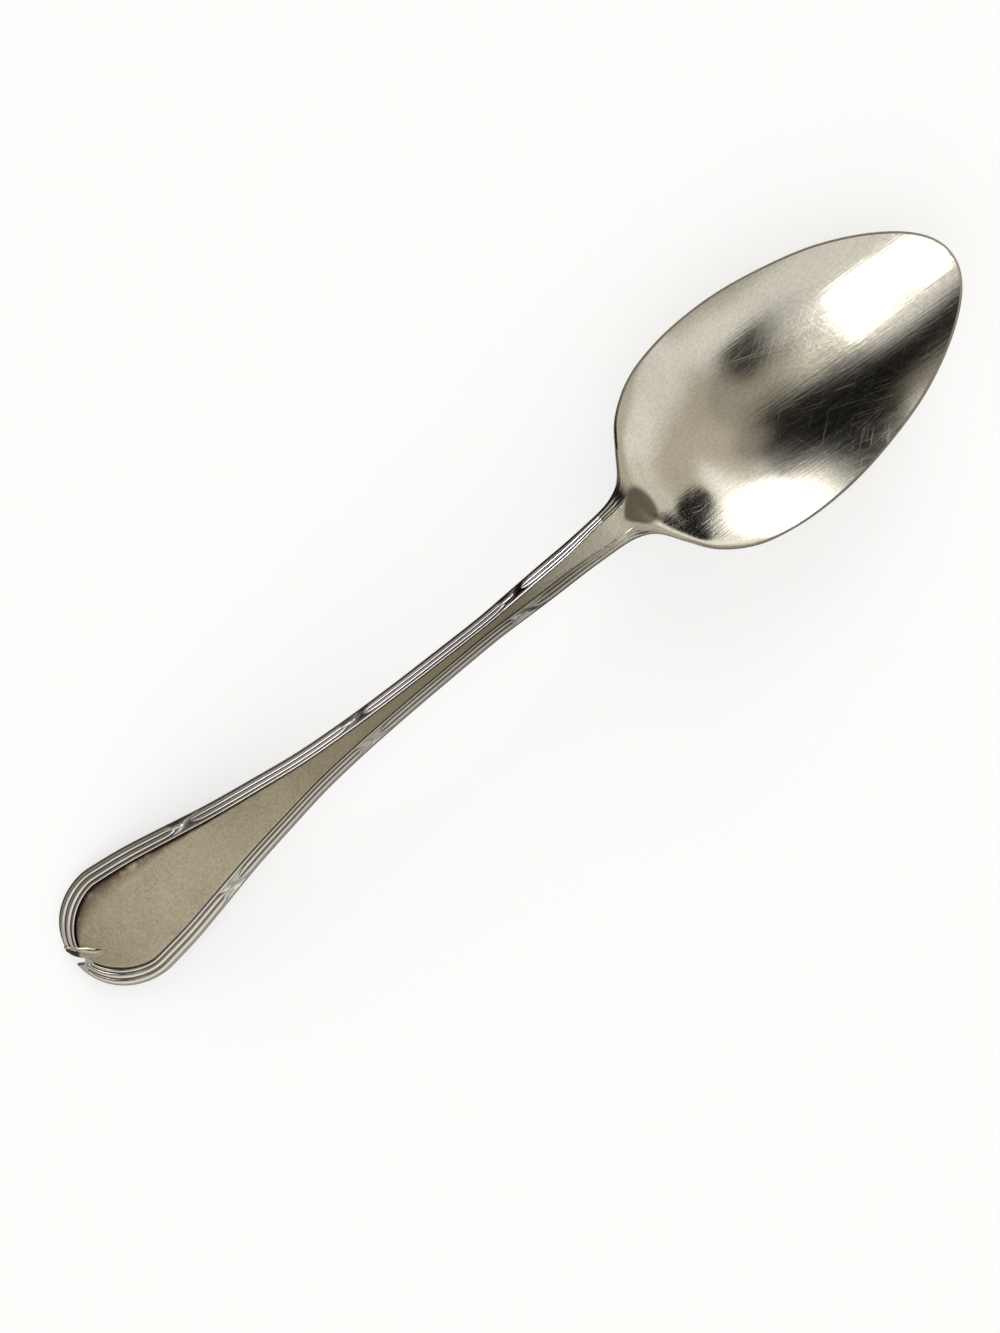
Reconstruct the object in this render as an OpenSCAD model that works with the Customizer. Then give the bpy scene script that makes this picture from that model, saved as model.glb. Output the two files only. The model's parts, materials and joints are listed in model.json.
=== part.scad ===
// Soup spoon with a crossed-reed border, struck from one blank and polished.
// It lies on a table at Z = 0 with its hollow up, and X runs from the handle's end to the bowl's tip.
// The pieces are the regions of the one blank: they meet face to face and share their corners.

/* [Overall] */
// Length from the handle's end to the bowl's tip
overall_length = 205; // [185:1:225]
// Length of the neck and bowl together, from the end of the panel to the tip
bowl_reach = 75.5; // [68:0.5:84]
// Height of the stem's underside above the table, where the handle arches highest
arch_rise = 11.8; // [7:0.1:16]
// Depth worn off the two places that touch the table
wear_depth = 0.15; // [0.05:0.05:0.3]

/* [Bowl] */
// Greatest width of the bowl
bowl_width = 41.6; // [36:0.2:48]
// Depth of the hollow below the rim
bowl_depth = 7.7; // [5:0.1:10]
// Thickness of the bowl's floor
floor_thickness = 1.8; // [1.3:0.1:2.6]
// Height of the bowl's edge, measured upright
rim_thickness = 1.45; // [1:0.05:1.8]

/* [Handle] */
// Greatest width of the handle, near its end
terminal_width = 24.8; // [18:0.2:30]
// Least width of the stem
stem_width = 5.2; // [4.6:0.1:7]
// Length of the rounded end, up to the widest place
cap_length = 13.5; // [10:0.25:18]
// Thickness of the handle's wide end
terminal_thickness = 2.4; // [2.1:0.1:3.4]
// Thickness of the stem
stem_thickness = 4; // [3.2:0.1:5]
// Height of the handle's side face at the wide end
terminal_edge = 1.4; // [0.8:0.1:1.5]
// Height of the handle's side face along the stem
stem_edge = 1.9; // [1.2:0.1:2.4]

/* [Border] */
// Width of the border along the wide end
terminal_border = 3.5; // [2.6:0.1:4.4]
// Width of the border along the stem
stem_border = 2.1; // [1.7:0.05:2.2]
// Width of the border at the tip of the handle
tip_border = 2.6; // [2:0.1:3.4]
// How far the border's outer edge lies below the panel
border_fall = 0.55; // [0.3:0.05:0.7]
// Height of a reed above the grooves beside it
reed_height = 0.36; // [0.15:0.01:0.5]
// Depth of the groove between the panel and the first reed
groove_depth = 0.3; // [0.1:0.01:0.4]
// Length of each ribbon where it crosses the reeds
crossing_length = 5; // [3:0.1:7]
// Length over which a reed rises from its pointed end
reed_taper = 3.2; // [1.5:0.1:5]
// Width of the ribbon knot at the tip of the handle
knot_width = 5.6; // [4:0.1:8]

/* [Hidden] */

// Colours of the polished, finely worn metal
bowl_colour = [0.78, 0.77, 0.73];
panel_colour = [0.68, 0.66, 0.58];
reed_colour = [0.74, 0.74, 0.71];
ribbon_colour = [0.80, 0.80, 0.77];

// Places along the spoon
end_x = -overall_length / 2;
tip_x = overall_length / 2;
cap_x = end_x + cap_length;
neck_x = tip_x - bowl_reach;
bowl_half = bowl_width / 2;
terminal_half = terminal_width / 2;
stem_half = stem_width / 2;

// Width of the handle between its widest place and the neck: [share of that length, share of the swell]
swell_shares = [[0, 1], [0.08, 0.872], [0.16, 0.69], [0.25, 0.478], [0.34, 0.308], [0.42, 0.171],
    [0.51, 0.086], [0.6, 0.039], [0.7, 0.012], [0.77, 0], [0.82, 0.02], [0.88, 0.044], [0.94, 0.06],
    [1, 0.1]];
// Underside of the handle from its end to the neck: [share of that length, share of the arch's rise]
arch_shares = [[0, 0.03], [0.045, 0], [0.09, 0.05], [0.135, 0.15], [0.21, 0.36], [0.31, 0.59],
    [0.405, 0.74], [0.52, 0.88], [0.637, 0.965], [0.75, 1], [0.83, 0.99], [0.907, 0.95], [0.96, 0.9],
    [1, 0.84]];
// Edge of the neck and bowl seen from above: [share of the reach, share of the bowl's half width]
// The first and last points only steer the curve
bowl_shares = [[-0.05, 0.158], [0, 0.17], [0.045, 0.2], [0.086, 0.283], [0.126, 0.49], [0.172, 0.706],
    [0.25, 0.886], [0.34, 0.972], [0.437, 1], [0.54, 0.98], [0.65, 0.906], [0.76, 0.79], [0.86, 0.615],
    [0.94, 0.405], [0.986, 0.2], [1, 0.05], [0.998, -0.1]];
// Height of the rim from the neck to the tip: [share of the reach, share of the neck's height over the rim]
rim_shares = [[0, 1], [0.1, 0.7], [0.2, 0.4], [0.3, 0.16], [0.437, 0], [0.6, -0.06], [0.75, -0.05],
    [0.88, 0.02], [1, 0.12]];
// Where each ribbon starts, as a share of the length between the widest place and the neck
crossing_shares = [0.172, 0.5, 0.803];
// Places across the border, from the panel to the outer edge, and the rise of the metal at each
across_shares = [0, 0.05, 0.16, 0.28, 0.38, 0.54, 0.64, 0.74, 0.9, 1];
inner_reed_shares = [0, 0, 0.8, 0, 0, 0, 0, 0, 0, 0];
outer_reed_shares = [0, 0, 0, 0, 1, 1, 0, 1, 1, 0.2];
groove_shares = [0, 1, 0.1, 0.35, 0.1, 0.1, 0.35, 0.1, 0.1, 0];
// Places across the underside of the border, and across half the panel's top and underside
border_under_shares = [0, 0.35, 0.7, 1];
panel_top_shares = [0, 0.5, 1];
panel_under_shares = [0, 0.33, 0.67, 1];
// Roundness of the handle's end: 2 is an ellipse, and more is squarer
cap_outer_power = 2.2;
cap_inner_power = 1.85;
// Curvature of the section across the border's slope, the stem's back and the bowl
fall_power = 1.5;
stem_back_power = 3;
bowl_power = 2.2;
// How soon the neck takes on the bowl's section, edge and thickness, as shares of the reach
section_share = 0.16;
hollow_share = 0.3;
thinning_share = 0.34;
reed_end_share = 0.075;
// How much of the border's width is left at the neck, and the share of the handle where it starts to narrow
neck_border_share = 0.76;
neck_border_start_share = 0.9;
// Where a ribbon's crest lies across the border at its two ends, and how wide it is
ribbon_crest_shares = [0.35, 0.95];
ribbon_width_share = 0.42;
ribbon_height_share = 0.85;
// Steps along each stretch of the border, from the knot to the neck
cap_steps = 12;
stretch_steps = [15, 7, 20, 6, 18, 6, 11];
knot_steps = 8;
bowl_steps = 3;
neck_points = 3;

function mix(a, b, t) = a + (b - a) * t;
function limit(t) = min(1, max(0, t));
function smooth(t) = let (u = limit(t)) u * u * (3 - 2 * u);

// Smooth curve through [place, value] points
function slope(points, k) = let (a = points[max(0, k - 1)], b = points[min(len(points) - 1, k + 1)])
    (b[1] - a[1]) / (b[0] - a[0]);
function curve(points, t) =
    let (last = len(points) - 2)
    let (k = min(last, max([for (i = [0 : last]) if (t >= points[i][0] || i == 0) i])))
    let (a = points[k], b = points[k + 1], width = b[0] - a[0], u = limit((t - a[0]) / width))
    let (m = slope(points, k) * width, n = slope(points, k + 1) * width)
    (2 * u ^ 3 - 3 * u ^ 2 + 1) * a[1] + (u ^ 3 - 2 * u ^ 2 + u) * m
    + (3 * u ^ 2 - 2 * u ^ 3) * b[1] + (u ^ 3 - u ^ 2) * n;
// Smooth curve through points in the plane, a share u of the way from point k to the next
function between(points, k, u) =
    let (a = points[k - 1], b = points[k], c = points[k + 1], d = points[k + 2])
    (2 * b + (c - a) * u + (2 * a - 5 * b + 4 * c - d) * u ^ 2 + (3 * b - a - 3 * c + d) * u ^ 3) / 2;

// Handle: its width, border and heights at a place x
function along(x) = (x - cap_x) / (neck_x - cap_x);
function swell(x) = x <= cap_x ? 1 : curve(swell_shares, along(x));
function handle_half(x) = mix(stem_half, terminal_half, swell(x));
function neck_nearness(x) = smooth((along(x) - neck_border_start_share) / (1 - neck_border_start_share));
function narrowing(x) = mix(1, neck_border_share, neck_nearness(x));
function border_width(x) = mix(stem_border, terminal_border, swell(x)) * narrowing(x);
function handle_thickness(x) = mix(stem_thickness, terminal_thickness, swell(x));
function handle_edge(x) = mix(stem_edge, terminal_edge, swell(x));
function handle_under(x) = arch_rise * curve(arch_shares, (x - end_x) / (neck_x - end_x)) - wear_depth;
function handle_top(x) = handle_under(x) + handle_thickness(x);

// Neck and bowl: a share v of the way from the end of the panel to the tip
neck_half = handle_half(neck_x);
neck_top = handle_top(neck_x);
neck_inner = neck_half - border_width(neck_x);
rim_height = bowl_depth + floor_thickness - wear_depth;
function reach_share(x) = (x - neck_x) / bowl_reach;
function bowl_edge(k, u) =
    let (p = between(bowl_shares, k, u))
    let (join = (neck_half - bowl_half * bowl_shares[1][1]) * limit(1 - p[0] / section_share))
    [neck_x + bowl_reach * p[0], bowl_half * p[1] + join];
function rim_z(v) = mix(rim_height, neck_top, curve(rim_shares, v));
function hollow(v, half) =
    bowl_depth * (half ^ 2 - neck_half ^ 2 * limit(1 - v / hollow_share)) / bowl_half ^ 2;
function bowl_thickness(v, half) =
    rim_thickness + (floor_thickness - rim_thickness) * hollow(v, half) / bowl_depth
    + (handle_thickness(neck_x) - rim_thickness) * (1 - smooth(v / thinning_share));
function bowl_rim(v) = mix(handle_edge(neck_x), rim_thickness, smooth(v / section_share));
function bowl_fall(v) = border_fall * (1 - smooth(v / section_share));

// Ribbons: their ends along X, and how strongly the reeds stand out at a place x
crossings = [for (share = crossing_shares) let (x = mix(cap_x, neck_x, share)) [x, x + crossing_length]];
function outside(x, crossing) = max(crossing[0] - x, x - crossing[1], 0);
function reed_strength(x) = sqrt(limit(min([for (c = crossings) outside(x, c)]) / reed_taper));
function ribbon_place(x) =
    let (inside = [for (c = crossings) if (x > c[0] && x < c[1]) (x - c[0]) / crossing_length])
    len(inside) > 0 ? inside[0] : -1;

// Relief of the border at the k-th place across it
function reeds(k, strength, fade) =
    reed_height * fade * (inner_reed_shares[k] + outer_reed_shares[k] * strength)
    - groove_depth * fade * groove_shares[k];
function ribbon(k, place) =
    let (crest = mix(ribbon_crest_shares[0], ribbon_crest_shares[1], place))
    let (off = (across_shares[k] - crest) / ribbon_width_share, on_reeds = outer_reed_shares[k] > 0)
    place < 0 || !on_reeds ? 0 : reed_height * ribbon_height_share * max(0, 1 - off ^ 2) * sin(180 * place);

// A station holds the outer corner, the inner corner, how far out the inner one lies, and the relief there
// [outer x, outer y, inner x, inner y, inner share, reed strength, ribbon place]
function straight_station(x) =
    let (half = handle_half(x), inner = half - border_width(x))
    [x, half, x, inner, inner / half, reed_strength(x), ribbon_place(x)];
function rounded(half, depth, angle, power) =
    [cap_x - depth * cos(angle) ^ (2 / power), half * sin(angle) ^ (2 / power)];
function cap_station(angle, strength) =
    let (o = rounded(terminal_half, cap_length, angle, cap_outer_power))
    let (i = rounded(terminal_half - terminal_border, cap_length - tip_border, angle, cap_inner_power))
    [o[0], o[1], i[0], i[1], i[1] / o[1], strength, -1];
knot_angle = asin((knot_width / 2 / terminal_half) ^ (cap_outer_power / 2));
cap_stations = [for (i = [0 : cap_steps - 1])
    cap_station(mix(knot_angle, 90, i / cap_steps), sqrt(limit(3 * i / cap_steps)))];
function stretch(from, to, steps) = [for (i = [0 : steps]) straight_station(mix(from, to, i / steps))];
breaks = [cap_x, for (c = crossings) each c, neck_x];
stretches = [for (k = [0 : len(stretch_steps) - 1]) stretch(breaks[k], breaks[k + 1], stretch_steps[k])];

// Corners of the border at one station, on top and underneath
function border_slope(x, q) = handle_top(x) - border_fall * q ^ fall_power;
function border_top(s, k) =
    let (q = across_shares[k], x = mix(s[2], s[0], q))
    [x, mix(s[3], s[1], q), border_slope(x, q) + reeds(k, s[5], 1) + ribbon(k, s[6])];
function under_z(x, share) =
    let (lip = handle_edge(x) + border_fall)
    max(0, handle_top(x) - lip - (handle_thickness(x) - lip) * (1 - share ^ stem_back_power));
function border_under(s, q) =
    let (x = mix(s[2], s[0], q))
    [x, mix(s[3], s[1], q), under_z(x, mix(s[4], 1, q))];
function border_ring(s) = [
    for (k = [0 : len(across_shares) - 1]) border_top(s, k),
    for (k = [len(border_under_shares) - 1 : -1 : 0]) border_under(s, border_under_shares[k])];

// Corners of the panel at one station
function panel_top(s, share) = [s[2], s[3] * share, handle_top(s[2])];
function panel_under(s, share) = [s[2], s[3] * share, under_z(s[2], s[4] * abs(share))];
function both_sides(shares) = [for (k = [len(shares) - 1 : -1 : 1]) -shares[k], for (share = shares) share];
function panel_ring(s) = [
    for (share = both_sides(panel_top_shares)) panel_top(s, share),
    for (share = both_sides(panel_under_shares)) panel_under(s, -share)];

// Corners of the knot, a share t of the way round the tip from its left side to its right
function knot_ring(t) =
    let (s = cap_station(knot_angle, 0), turn = knot_angle * (1 - 2 * t), side = turn < 0 ? -1 : 1)
    let (o = rounded(terminal_half, cap_length, abs(turn), cap_outer_power))
    let (edge_y = side * o[1], inner_y = s[3] * (1 - 2 * t), lift = sin(180 * t))
    let (crest = mix(ribbon_crest_shares[1], ribbon_crest_shares[0], t))
    [for (k = [0 : len(across_shares) - 1])
        let (q = across_shares[k], x = mix(s[2], o[0], q), off = (q - crest) / ribbon_width_share)
        let (ridge = k == 0 ? 0 : reed_height * lift * max(0, 1 - off ^ 2))
        [x, mix(inner_y, edge_y, q), border_slope(x, q) + reeds(k, 0, 1 - lift) + ridge],
    for (k = [len(border_under_shares) - 1 : -1 : 0])
        let (q = border_under_shares[k], x = mix(s[2], o[0], q))
        [x, mix(inner_y, edge_y, q), under_z(x, k == 0 ? s[4] * abs(1 - 2 * t) : mix(s[4], 1, q))]];

// Corners across the neck and bowl: the handle's places at the neck turn into even ones
half_top_count = len(panel_top_shares) + len(across_shares) - 1;
half_under_count = len(panel_under_shares) + len(border_under_shares) - 1;
bowl_top_count = 2 * half_top_count - 1;
neck_inner_share = neck_inner / neck_half;
function neck_top_share(j) = j < len(panel_top_shares) ? panel_top_shares[j] * neck_inner_share
    : mix(neck_inner_share, 1, across_shares[j - len(panel_top_shares) + 1]);
function neck_under_share(j) = j < len(panel_under_shares) ? panel_under_shares[j] * neck_inner_share
    : mix(neck_inner_share, 1, border_under_shares[j - len(panel_under_shares) + 1]);
function bowl_top(p, j, side) =
    let (v = reach_share(p[0]), blend = smooth(v / section_share), fade = 1 - smooth(v / reed_end_share))
    let (share = mix(neck_top_share(j), j / (half_top_count - 1), blend))
    let (k = max(0, j - len(panel_top_shares) + 1))
    [p[0], side * p[1] * share, rim_z(v) - hollow(v, p[1]) * (1 - share ^ bowl_power)
        - bowl_fall(v) * across_shares[k] ^ fall_power + reeds(k, 1, fade)];
function bowl_under(p, j, side) =
    let (v = reach_share(p[0]), blend = smooth(v / section_share))
    let (share = mix(neck_under_share(j), j / (half_under_count - 1), blend))
    let (power = mix(stem_back_power, bowl_power, blend), lip = bowl_rim(v) + bowl_fall(v))
    [p[0], side * p[1] * share,
        max(0, rim_z(v) - lip - (hollow(v, p[1]) + bowl_thickness(v, p[1]) - lip) * (1 - share ^ power))];
function bowl_ring(p) = [
    for (j = [half_top_count - 1 : -1 : 1]) bowl_top(p, j, -1),
    for (j = [0 : half_top_count - 1]) bowl_top(p, j, 1),
    for (j = [half_under_count - 1 : -1 : 1]) bowl_under(p, j, 1),
    for (j = [0 : half_under_count - 1]) bowl_under(p, j, -1)];
function bowl_rings(first, last) = [
    for (k = [first : last - 1]) for (i = [0 : bowl_steps - 1]) bowl_ring(bowl_edge(k, i / bowl_steps)),
    bowl_ring(bowl_edge(last - 1, 1))];

// Triangles across a ring whose first corners run along the top and the rest run back underneath
function lace(top, under, i = 0, j = 0) =
    let (a = i, b = top + under - 1 - j, top_left = i < top - 1, under_left = j < under - 1)
    let (take_top = top_left && (!under_left || (i + 1) * (under - 1) <= (j + 1) * (top - 1)))
    !top_left && !under_left ? []
        : take_top ? [[a, a + 1, b], each lace(top, under, i + 1, j)]
        : [[a, b - 1, b], each lace(top, under, i, j + 1)];

// Skin over a row of rings that have the same number of corners, of which the first ones are on top
module skin(rings, top) {
    n = len(rings[0]);
    last = (len(rings) - 1) * n;
    sides = [for (i = [0 : len(rings) - 2]) for (j = [0 : n - 1])
        let (a = i * n + j, b = i * n + (j + 1) % n)
        each [[a, b + n, a + n], [a, b, b + n]]];
    end = lace(top, n - top);
    first_end = [for (f = end) [f[2], f[1], f[0]]];
    last_end = [for (f = end) [last + f[0], last + f[1], last + f[2]]];
    polyhedron(points = [for (ring = rings) each ring], faces = [each first_end, each sides, each last_end]);
}

module border(stations) {
    skin([for (s = stations) border_ring(s)], len(across_shares));
}

module mirrored() {
    mirror([0, 1, 0]) children();
}

module bowl() {
    color(bowl_colour) skin(bowl_rings(neck_points + 1, len(bowl_shares) - 2), bowl_top_count);
}

module neck() {
    color(bowl_colour) skin(bowl_rings(1, neck_points + 1), bowl_top_count);
}

module handle_panel() {
    past_first = [for (k = [1 : len(stretches) - 1]) for (i = [1 : len(stretches[k]) - 1]) stretches[k][i]];
    stations = [each cap_stations, each stretches[0], each past_first];
    color(panel_colour) skin([for (s = stations) panel_ring(s)], 2 * len(panel_top_shares) - 1);
}

module tip_knot() {
    rings = [for (i = [knot_steps : -1 : 0]) knot_ring(i / knot_steps)];
    color(ribbon_colour) skin(rings, len(across_shares));
}

module left_reeds_end() {
    color(reed_colour) border([each cap_stations, each stretches[0]]);
}

module right_reeds_end() {
    color(reed_colour) mirrored() border([each cap_stations, each stretches[0]]);
}

module left_ribbon_end() {
    color(ribbon_colour) border(stretches[1]);
}

module right_ribbon_end() {
    color(ribbon_colour) mirrored() border(stretches[1]);
}

module left_reeds_blade() {
    color(reed_colour) border(stretches[2]);
}

module right_reeds_blade() {
    color(reed_colour) mirrored() border(stretches[2]);
}

module left_ribbon_middle() {
    color(ribbon_colour) border(stretches[3]);
}

module right_ribbon_middle() {
    color(ribbon_colour) mirrored() border(stretches[3]);
}

module left_reeds_stem() {
    color(reed_colour) border(stretches[4]);
}

module right_reeds_stem() {
    color(reed_colour) mirrored() border(stretches[4]);
}

module left_ribbon_neck() {
    color(ribbon_colour) border(stretches[5]);
}

module right_ribbon_neck() {
    color(ribbon_colour) mirrored() border(stretches[5]);
}

module left_reeds_neck() {
    color(reed_colour) border(stretches[6]);
}

module right_reeds_neck() {
    color(reed_colour) mirrored() border(stretches[6]);
}

bowl();
neck();
handle_panel();
tip_knot();
left_reeds_end();
left_ribbon_end();
left_reeds_blade();
left_ribbon_middle();
left_reeds_stem();
left_ribbon_neck();
left_reeds_neck();
right_reeds_end();
right_ribbon_end();
right_reeds_blade();
right_ribbon_middle();
right_reeds_stem();
right_ribbon_neck();
right_reeds_neck();
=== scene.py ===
import json
import math

import bpy
import numpy as np
from bpy.props import FloatProperty, FloatVectorProperty, PointerProperty
from mathutils import Matrix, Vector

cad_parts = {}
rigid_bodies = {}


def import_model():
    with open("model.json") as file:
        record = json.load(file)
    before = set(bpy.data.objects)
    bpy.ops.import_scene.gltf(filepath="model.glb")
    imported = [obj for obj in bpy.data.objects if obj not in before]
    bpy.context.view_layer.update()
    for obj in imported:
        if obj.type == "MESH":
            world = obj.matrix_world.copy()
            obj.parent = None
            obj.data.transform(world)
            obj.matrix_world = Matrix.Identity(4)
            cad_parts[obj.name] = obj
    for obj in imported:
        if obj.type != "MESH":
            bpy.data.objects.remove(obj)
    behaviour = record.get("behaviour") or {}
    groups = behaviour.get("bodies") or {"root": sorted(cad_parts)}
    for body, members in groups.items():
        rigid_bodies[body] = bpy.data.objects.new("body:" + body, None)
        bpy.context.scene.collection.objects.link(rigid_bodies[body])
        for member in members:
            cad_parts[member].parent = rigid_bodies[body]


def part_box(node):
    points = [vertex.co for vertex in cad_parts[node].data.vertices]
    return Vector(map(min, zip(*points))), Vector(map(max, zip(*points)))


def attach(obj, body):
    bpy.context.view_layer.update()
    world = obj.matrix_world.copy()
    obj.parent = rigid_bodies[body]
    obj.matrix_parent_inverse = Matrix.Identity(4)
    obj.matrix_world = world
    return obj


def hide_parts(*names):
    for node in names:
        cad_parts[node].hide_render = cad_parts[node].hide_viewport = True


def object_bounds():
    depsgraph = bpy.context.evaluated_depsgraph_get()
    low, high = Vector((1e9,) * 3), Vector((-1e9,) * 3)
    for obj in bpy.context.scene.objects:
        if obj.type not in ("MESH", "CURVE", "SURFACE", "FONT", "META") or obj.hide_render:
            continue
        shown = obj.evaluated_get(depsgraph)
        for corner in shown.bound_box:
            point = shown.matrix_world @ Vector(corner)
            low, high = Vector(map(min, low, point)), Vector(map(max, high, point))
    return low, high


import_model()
CAD_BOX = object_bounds()

bl_info = {
    "name": "Soup Spoon",
    "version": (1, 0, 0),
    "blender": (4, 5, 0),
    "location": "3D View > Sidebar > Spoon",
    "description": "Dresses a soup spoon with a crossed-reed border in worn, polished metal",
    "category": "Object",
}

# Everything below is worked out in millimetres and put into the meshes in metres
MM = 0.001
BODY = "root"

# Places along the spoon and half widths across it, read from the frame
END_X = CAD_BOX[0].x / MM
TIP_X = CAD_BOX[1].x / MM
NECK_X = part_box("neck")[0].x / MM
BOWL_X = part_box("bowl")[0].x / MM
CROSSINGS = [[corner.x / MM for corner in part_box(node)]
             for node in ("left_ribbon_end", "left_ribbon_middle", "left_ribbon_neck")]
BOWL_REACH = TIP_X - NECK_X
BOWL_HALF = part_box("bowl")[1].y / MM
KNOT_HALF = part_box("tip_knot")[1].y / MM
TERMINAL_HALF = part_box("left_reeds_end")[1].y / MM

# The handle's rounded end: its length, the powers of its outer and inner curve, and the width of its
# border on the middle line
CAP_LENGTH = 13.5
CAP_X = END_X + CAP_LENGTH
CAP_OUTER_POWER = 2.2
CAP_INNER_POWER = 1.85
TIP_BORDER = 2.6

# The handle at its wide end, the terminal, and along its stem. Its edge is the height of the side face.
STEM_HALF = 2.6
TERMINAL_THICKNESS = 2.4
STEM_THICKNESS = 4.0
TERMINAL_EDGE = 1.4
STEM_EDGE = 1.9
TERMINAL_BORDER = 3.5
STEM_BORDER = 2.1
# The border falls this far from the panel to the outer edge, by this power
BORDER_FALL = 0.55
FALL_POWER = 1.5
# At the neck the border has this share of its width, and it starts to narrow at this share of the way
NECK_BORDER_SHARE = 0.76
NECK_BORDER_START = 0.9

# Powers of the underside across the handle and of the hollow across the bowl
BACK_POWER = 3.0
BOWL_POWER = 2.2
# Height of the arch, and what is worn off the two places on which the spoon rests
ARCH_RISE = 11.8
WEAR_DEPTH = 0.15

# Shares of the length of neck and bowl, from the neck on. Within them the rows turn square to the edge,
# the section becomes the bowl's, the hollow widens to the full and the metal thins to the rim's
SQUARE_SHARE = 0.045
SECTION_SHARE = 0.16
HOLLOW_SHARE = 0.3
THINNING_SHARE = 0.34
# Where the shoulder's flat lip gives way to the bowl's plain hollow, and how flat it is
SHOULDER_FROM = 0.16
SHOULDER_TO = 0.42
SHOULDER_POWER = 1.6
# How far the rows draw back at the bowl's tip, from where on, and over what share
TIP_INSET = 0.5
TIP_INSET_FROM = 0.8
TIP_INSET_SHARE = 0.15

# Width of the flat and of the two roundings at the edge. Where there are two, they are the handle's and
# the bowl's.
HANDLE_FLAT = 0.03
TOP_ROUND = (0.24, 0.16)
UNDER_ROUND = 0.5

# Width of the handle from its widest place to the neck, and its underside from its end to the neck
SWELL = [[0, 1], [0.08, 0.872], [0.16, 0.69], [0.25, 0.478], [0.34, 0.308], [0.42, 0.171], [0.51, 0.086],
         [0.6, 0.039], [0.7, 0.012], [0.77, 0], [0.82, 0.02], [0.88, 0.044], [0.94, 0.06], [1, 0.1]]
ARCH = [[0, 0.03], [0.045, 0], [0.09, 0.05], [0.135, 0.15], [0.21, 0.36], [0.31, 0.59], [0.405, 0.74],
        [0.52, 0.88], [0.637, 0.965], [0.75, 1], [0.83, 0.99], [0.907, 0.95], [0.96, 0.9], [1, 0.84]]
# Edge of the neck and bowl seen from above, and the height of the rim
BOWL_EDGE = [[-0.05, 0.158], [0, 0.17], [0.045, 0.2], [0.086, 0.283], [0.126, 0.49], [0.172, 0.706],
             [0.25, 0.886], [0.34, 0.972], [0.437, 1], [0.54, 0.98], [0.65, 0.906], [0.76, 0.79],
             [0.86, 0.615], [0.94, 0.405], [0.986, 0.2], [1, 0], [0.986, -0.2]]
RIM = [[0, 1], [0.1, 0.7], [0.2, 0.4], [0.3, 0.16], [0.437, 0], [0.6, -0.06], [0.75, -0.05], [0.88, 0.02],
       [1, 0.12]]

# Points of the rounded end and of each stretch of the bowl's edge, before the outline is made even
CAP_POINTS = 600
EDGE_POINTS = 60
# Steps along the handle, the outline and the heights, and how much the last two have their corners eased
HANDLE_STEP = 0.1
OUTLINE_STEP = 0.05
OUTLINE_SOFTNESS = 0.9
HEIGHT_STEP = 0.1
HEIGHT_SOFTNESS = 2.2

# Points across half the spoon: panel, border, rounded edge, and the same underneath
PANEL_STEPS = 14
BORDER_STEPS = 60
ARC_STEPS = 4
UNDER_BORDER_STEPS = 10
UNDER_PANEL_STEPS = 14
# In the bowl the border's steps are narrower than the panel's, and crowd to the edge by this power
BOWL_INNER_SHARE = PANEL_STEPS / (PANEL_STEPS + 0.55 * BORDER_STEPS)
EDGE_CROWDING = 1.35
# Columns of the top and of the edge, and where the border starts on the top and ends underneath
TOP = PANEL_STEPS + BORDER_STEPS + 1
EDGE = 2 * ARC_STEPS + 2
INNER_TOP = PANEL_STEPS
INNER_UNDER = TOP + EDGE + UNDER_BORDER_STEPS
COLUMNS = TOP + EDGE + UNDER_BORDER_STEPS + 1 + UNDER_PANEL_STEPS
ROW_STEPS = {"knot": 0.07, "ribbon": 0.14, "reeds": 0.22, "neck": 0.25, "bowl": 0.5}

# Keep a division from having nothing below the line: for lengths, for half widths and for normals
TINY = 1e-9
SLIGHT = 1e-6
SHORTEST = 1e-12
# A normal shorter than this, before it gets its length of 1, has no direction
LOST_NORMAL = 1e-7


# Curves

def eased_step(t):
    """Rises smoothly from 0 to 1: three times t squared less twice t cubed."""
    t = np.clip(t, 0, 1)
    return t * t * (3 - 2 * t)


def mixed(a, b, t):
    """A share t of the way from a to b."""
    return a + (b - a) * t


def table(rows, places):
    """Smooth curve through [place, value] rows: between two rows, the cubic whose slope at each row
    is that of the chord between the row's neighbours."""
    x, y = np.array(rows, float).T
    slope = np.empty_like(x)
    slope[1:-1] = (y[2:] - y[:-2]) / (x[2:] - x[:-2])
    slope[0] = (y[1] - y[0]) / (x[1] - x[0])
    slope[-1] = (y[-1] - y[-2]) / (x[-1] - x[-2])
    k = np.clip(np.searchsorted(x, places, side="right") - 1, 0, len(x) - 2)
    width = x[k + 1] - x[k]
    u = np.clip((places - x[k]) / width, 0, 1)
    return ((2 * u**3 - 3 * u**2 + 1) * y[k] + (u**3 - 2 * u**2 + u) * slope[k] * width
            + (3 * u**2 - 2 * u**3) * y[k + 1] + (u**3 - u**2) * slope[k + 1] * width)


def through(points, steps):
    """Curve in the plane through all the points but the first and last, which steer it: each stretch
    is the cubic whose slope at a point is half the step between the point's neighbours."""
    p = np.array(points, float)[:, None, :]
    a, b, c, d = p[:-3], p[1:-2], p[2:-1], p[3:]
    u = np.arange(steps)[None, :, None] / steps
    rows = (2 * b + (c - a) * u + (2 * a - 5 * b + 4 * c - d) * u**2 + (3 * b - a - 3 * c + d) * u**3) / 2
    return np.concatenate([rows.reshape(-1, p.shape[2]), p[-2]])


def bell(step, width):
    """Weights of a bell curve of that width, for values a step apart, and their number on either side."""
    reach = int(math.ceil(3.5 * width / step))
    weights = np.exp(-0.5 * (np.arange(-reach, reach + 1) * step / width) ** 2)
    return weights / weights.sum(), reach


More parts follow.
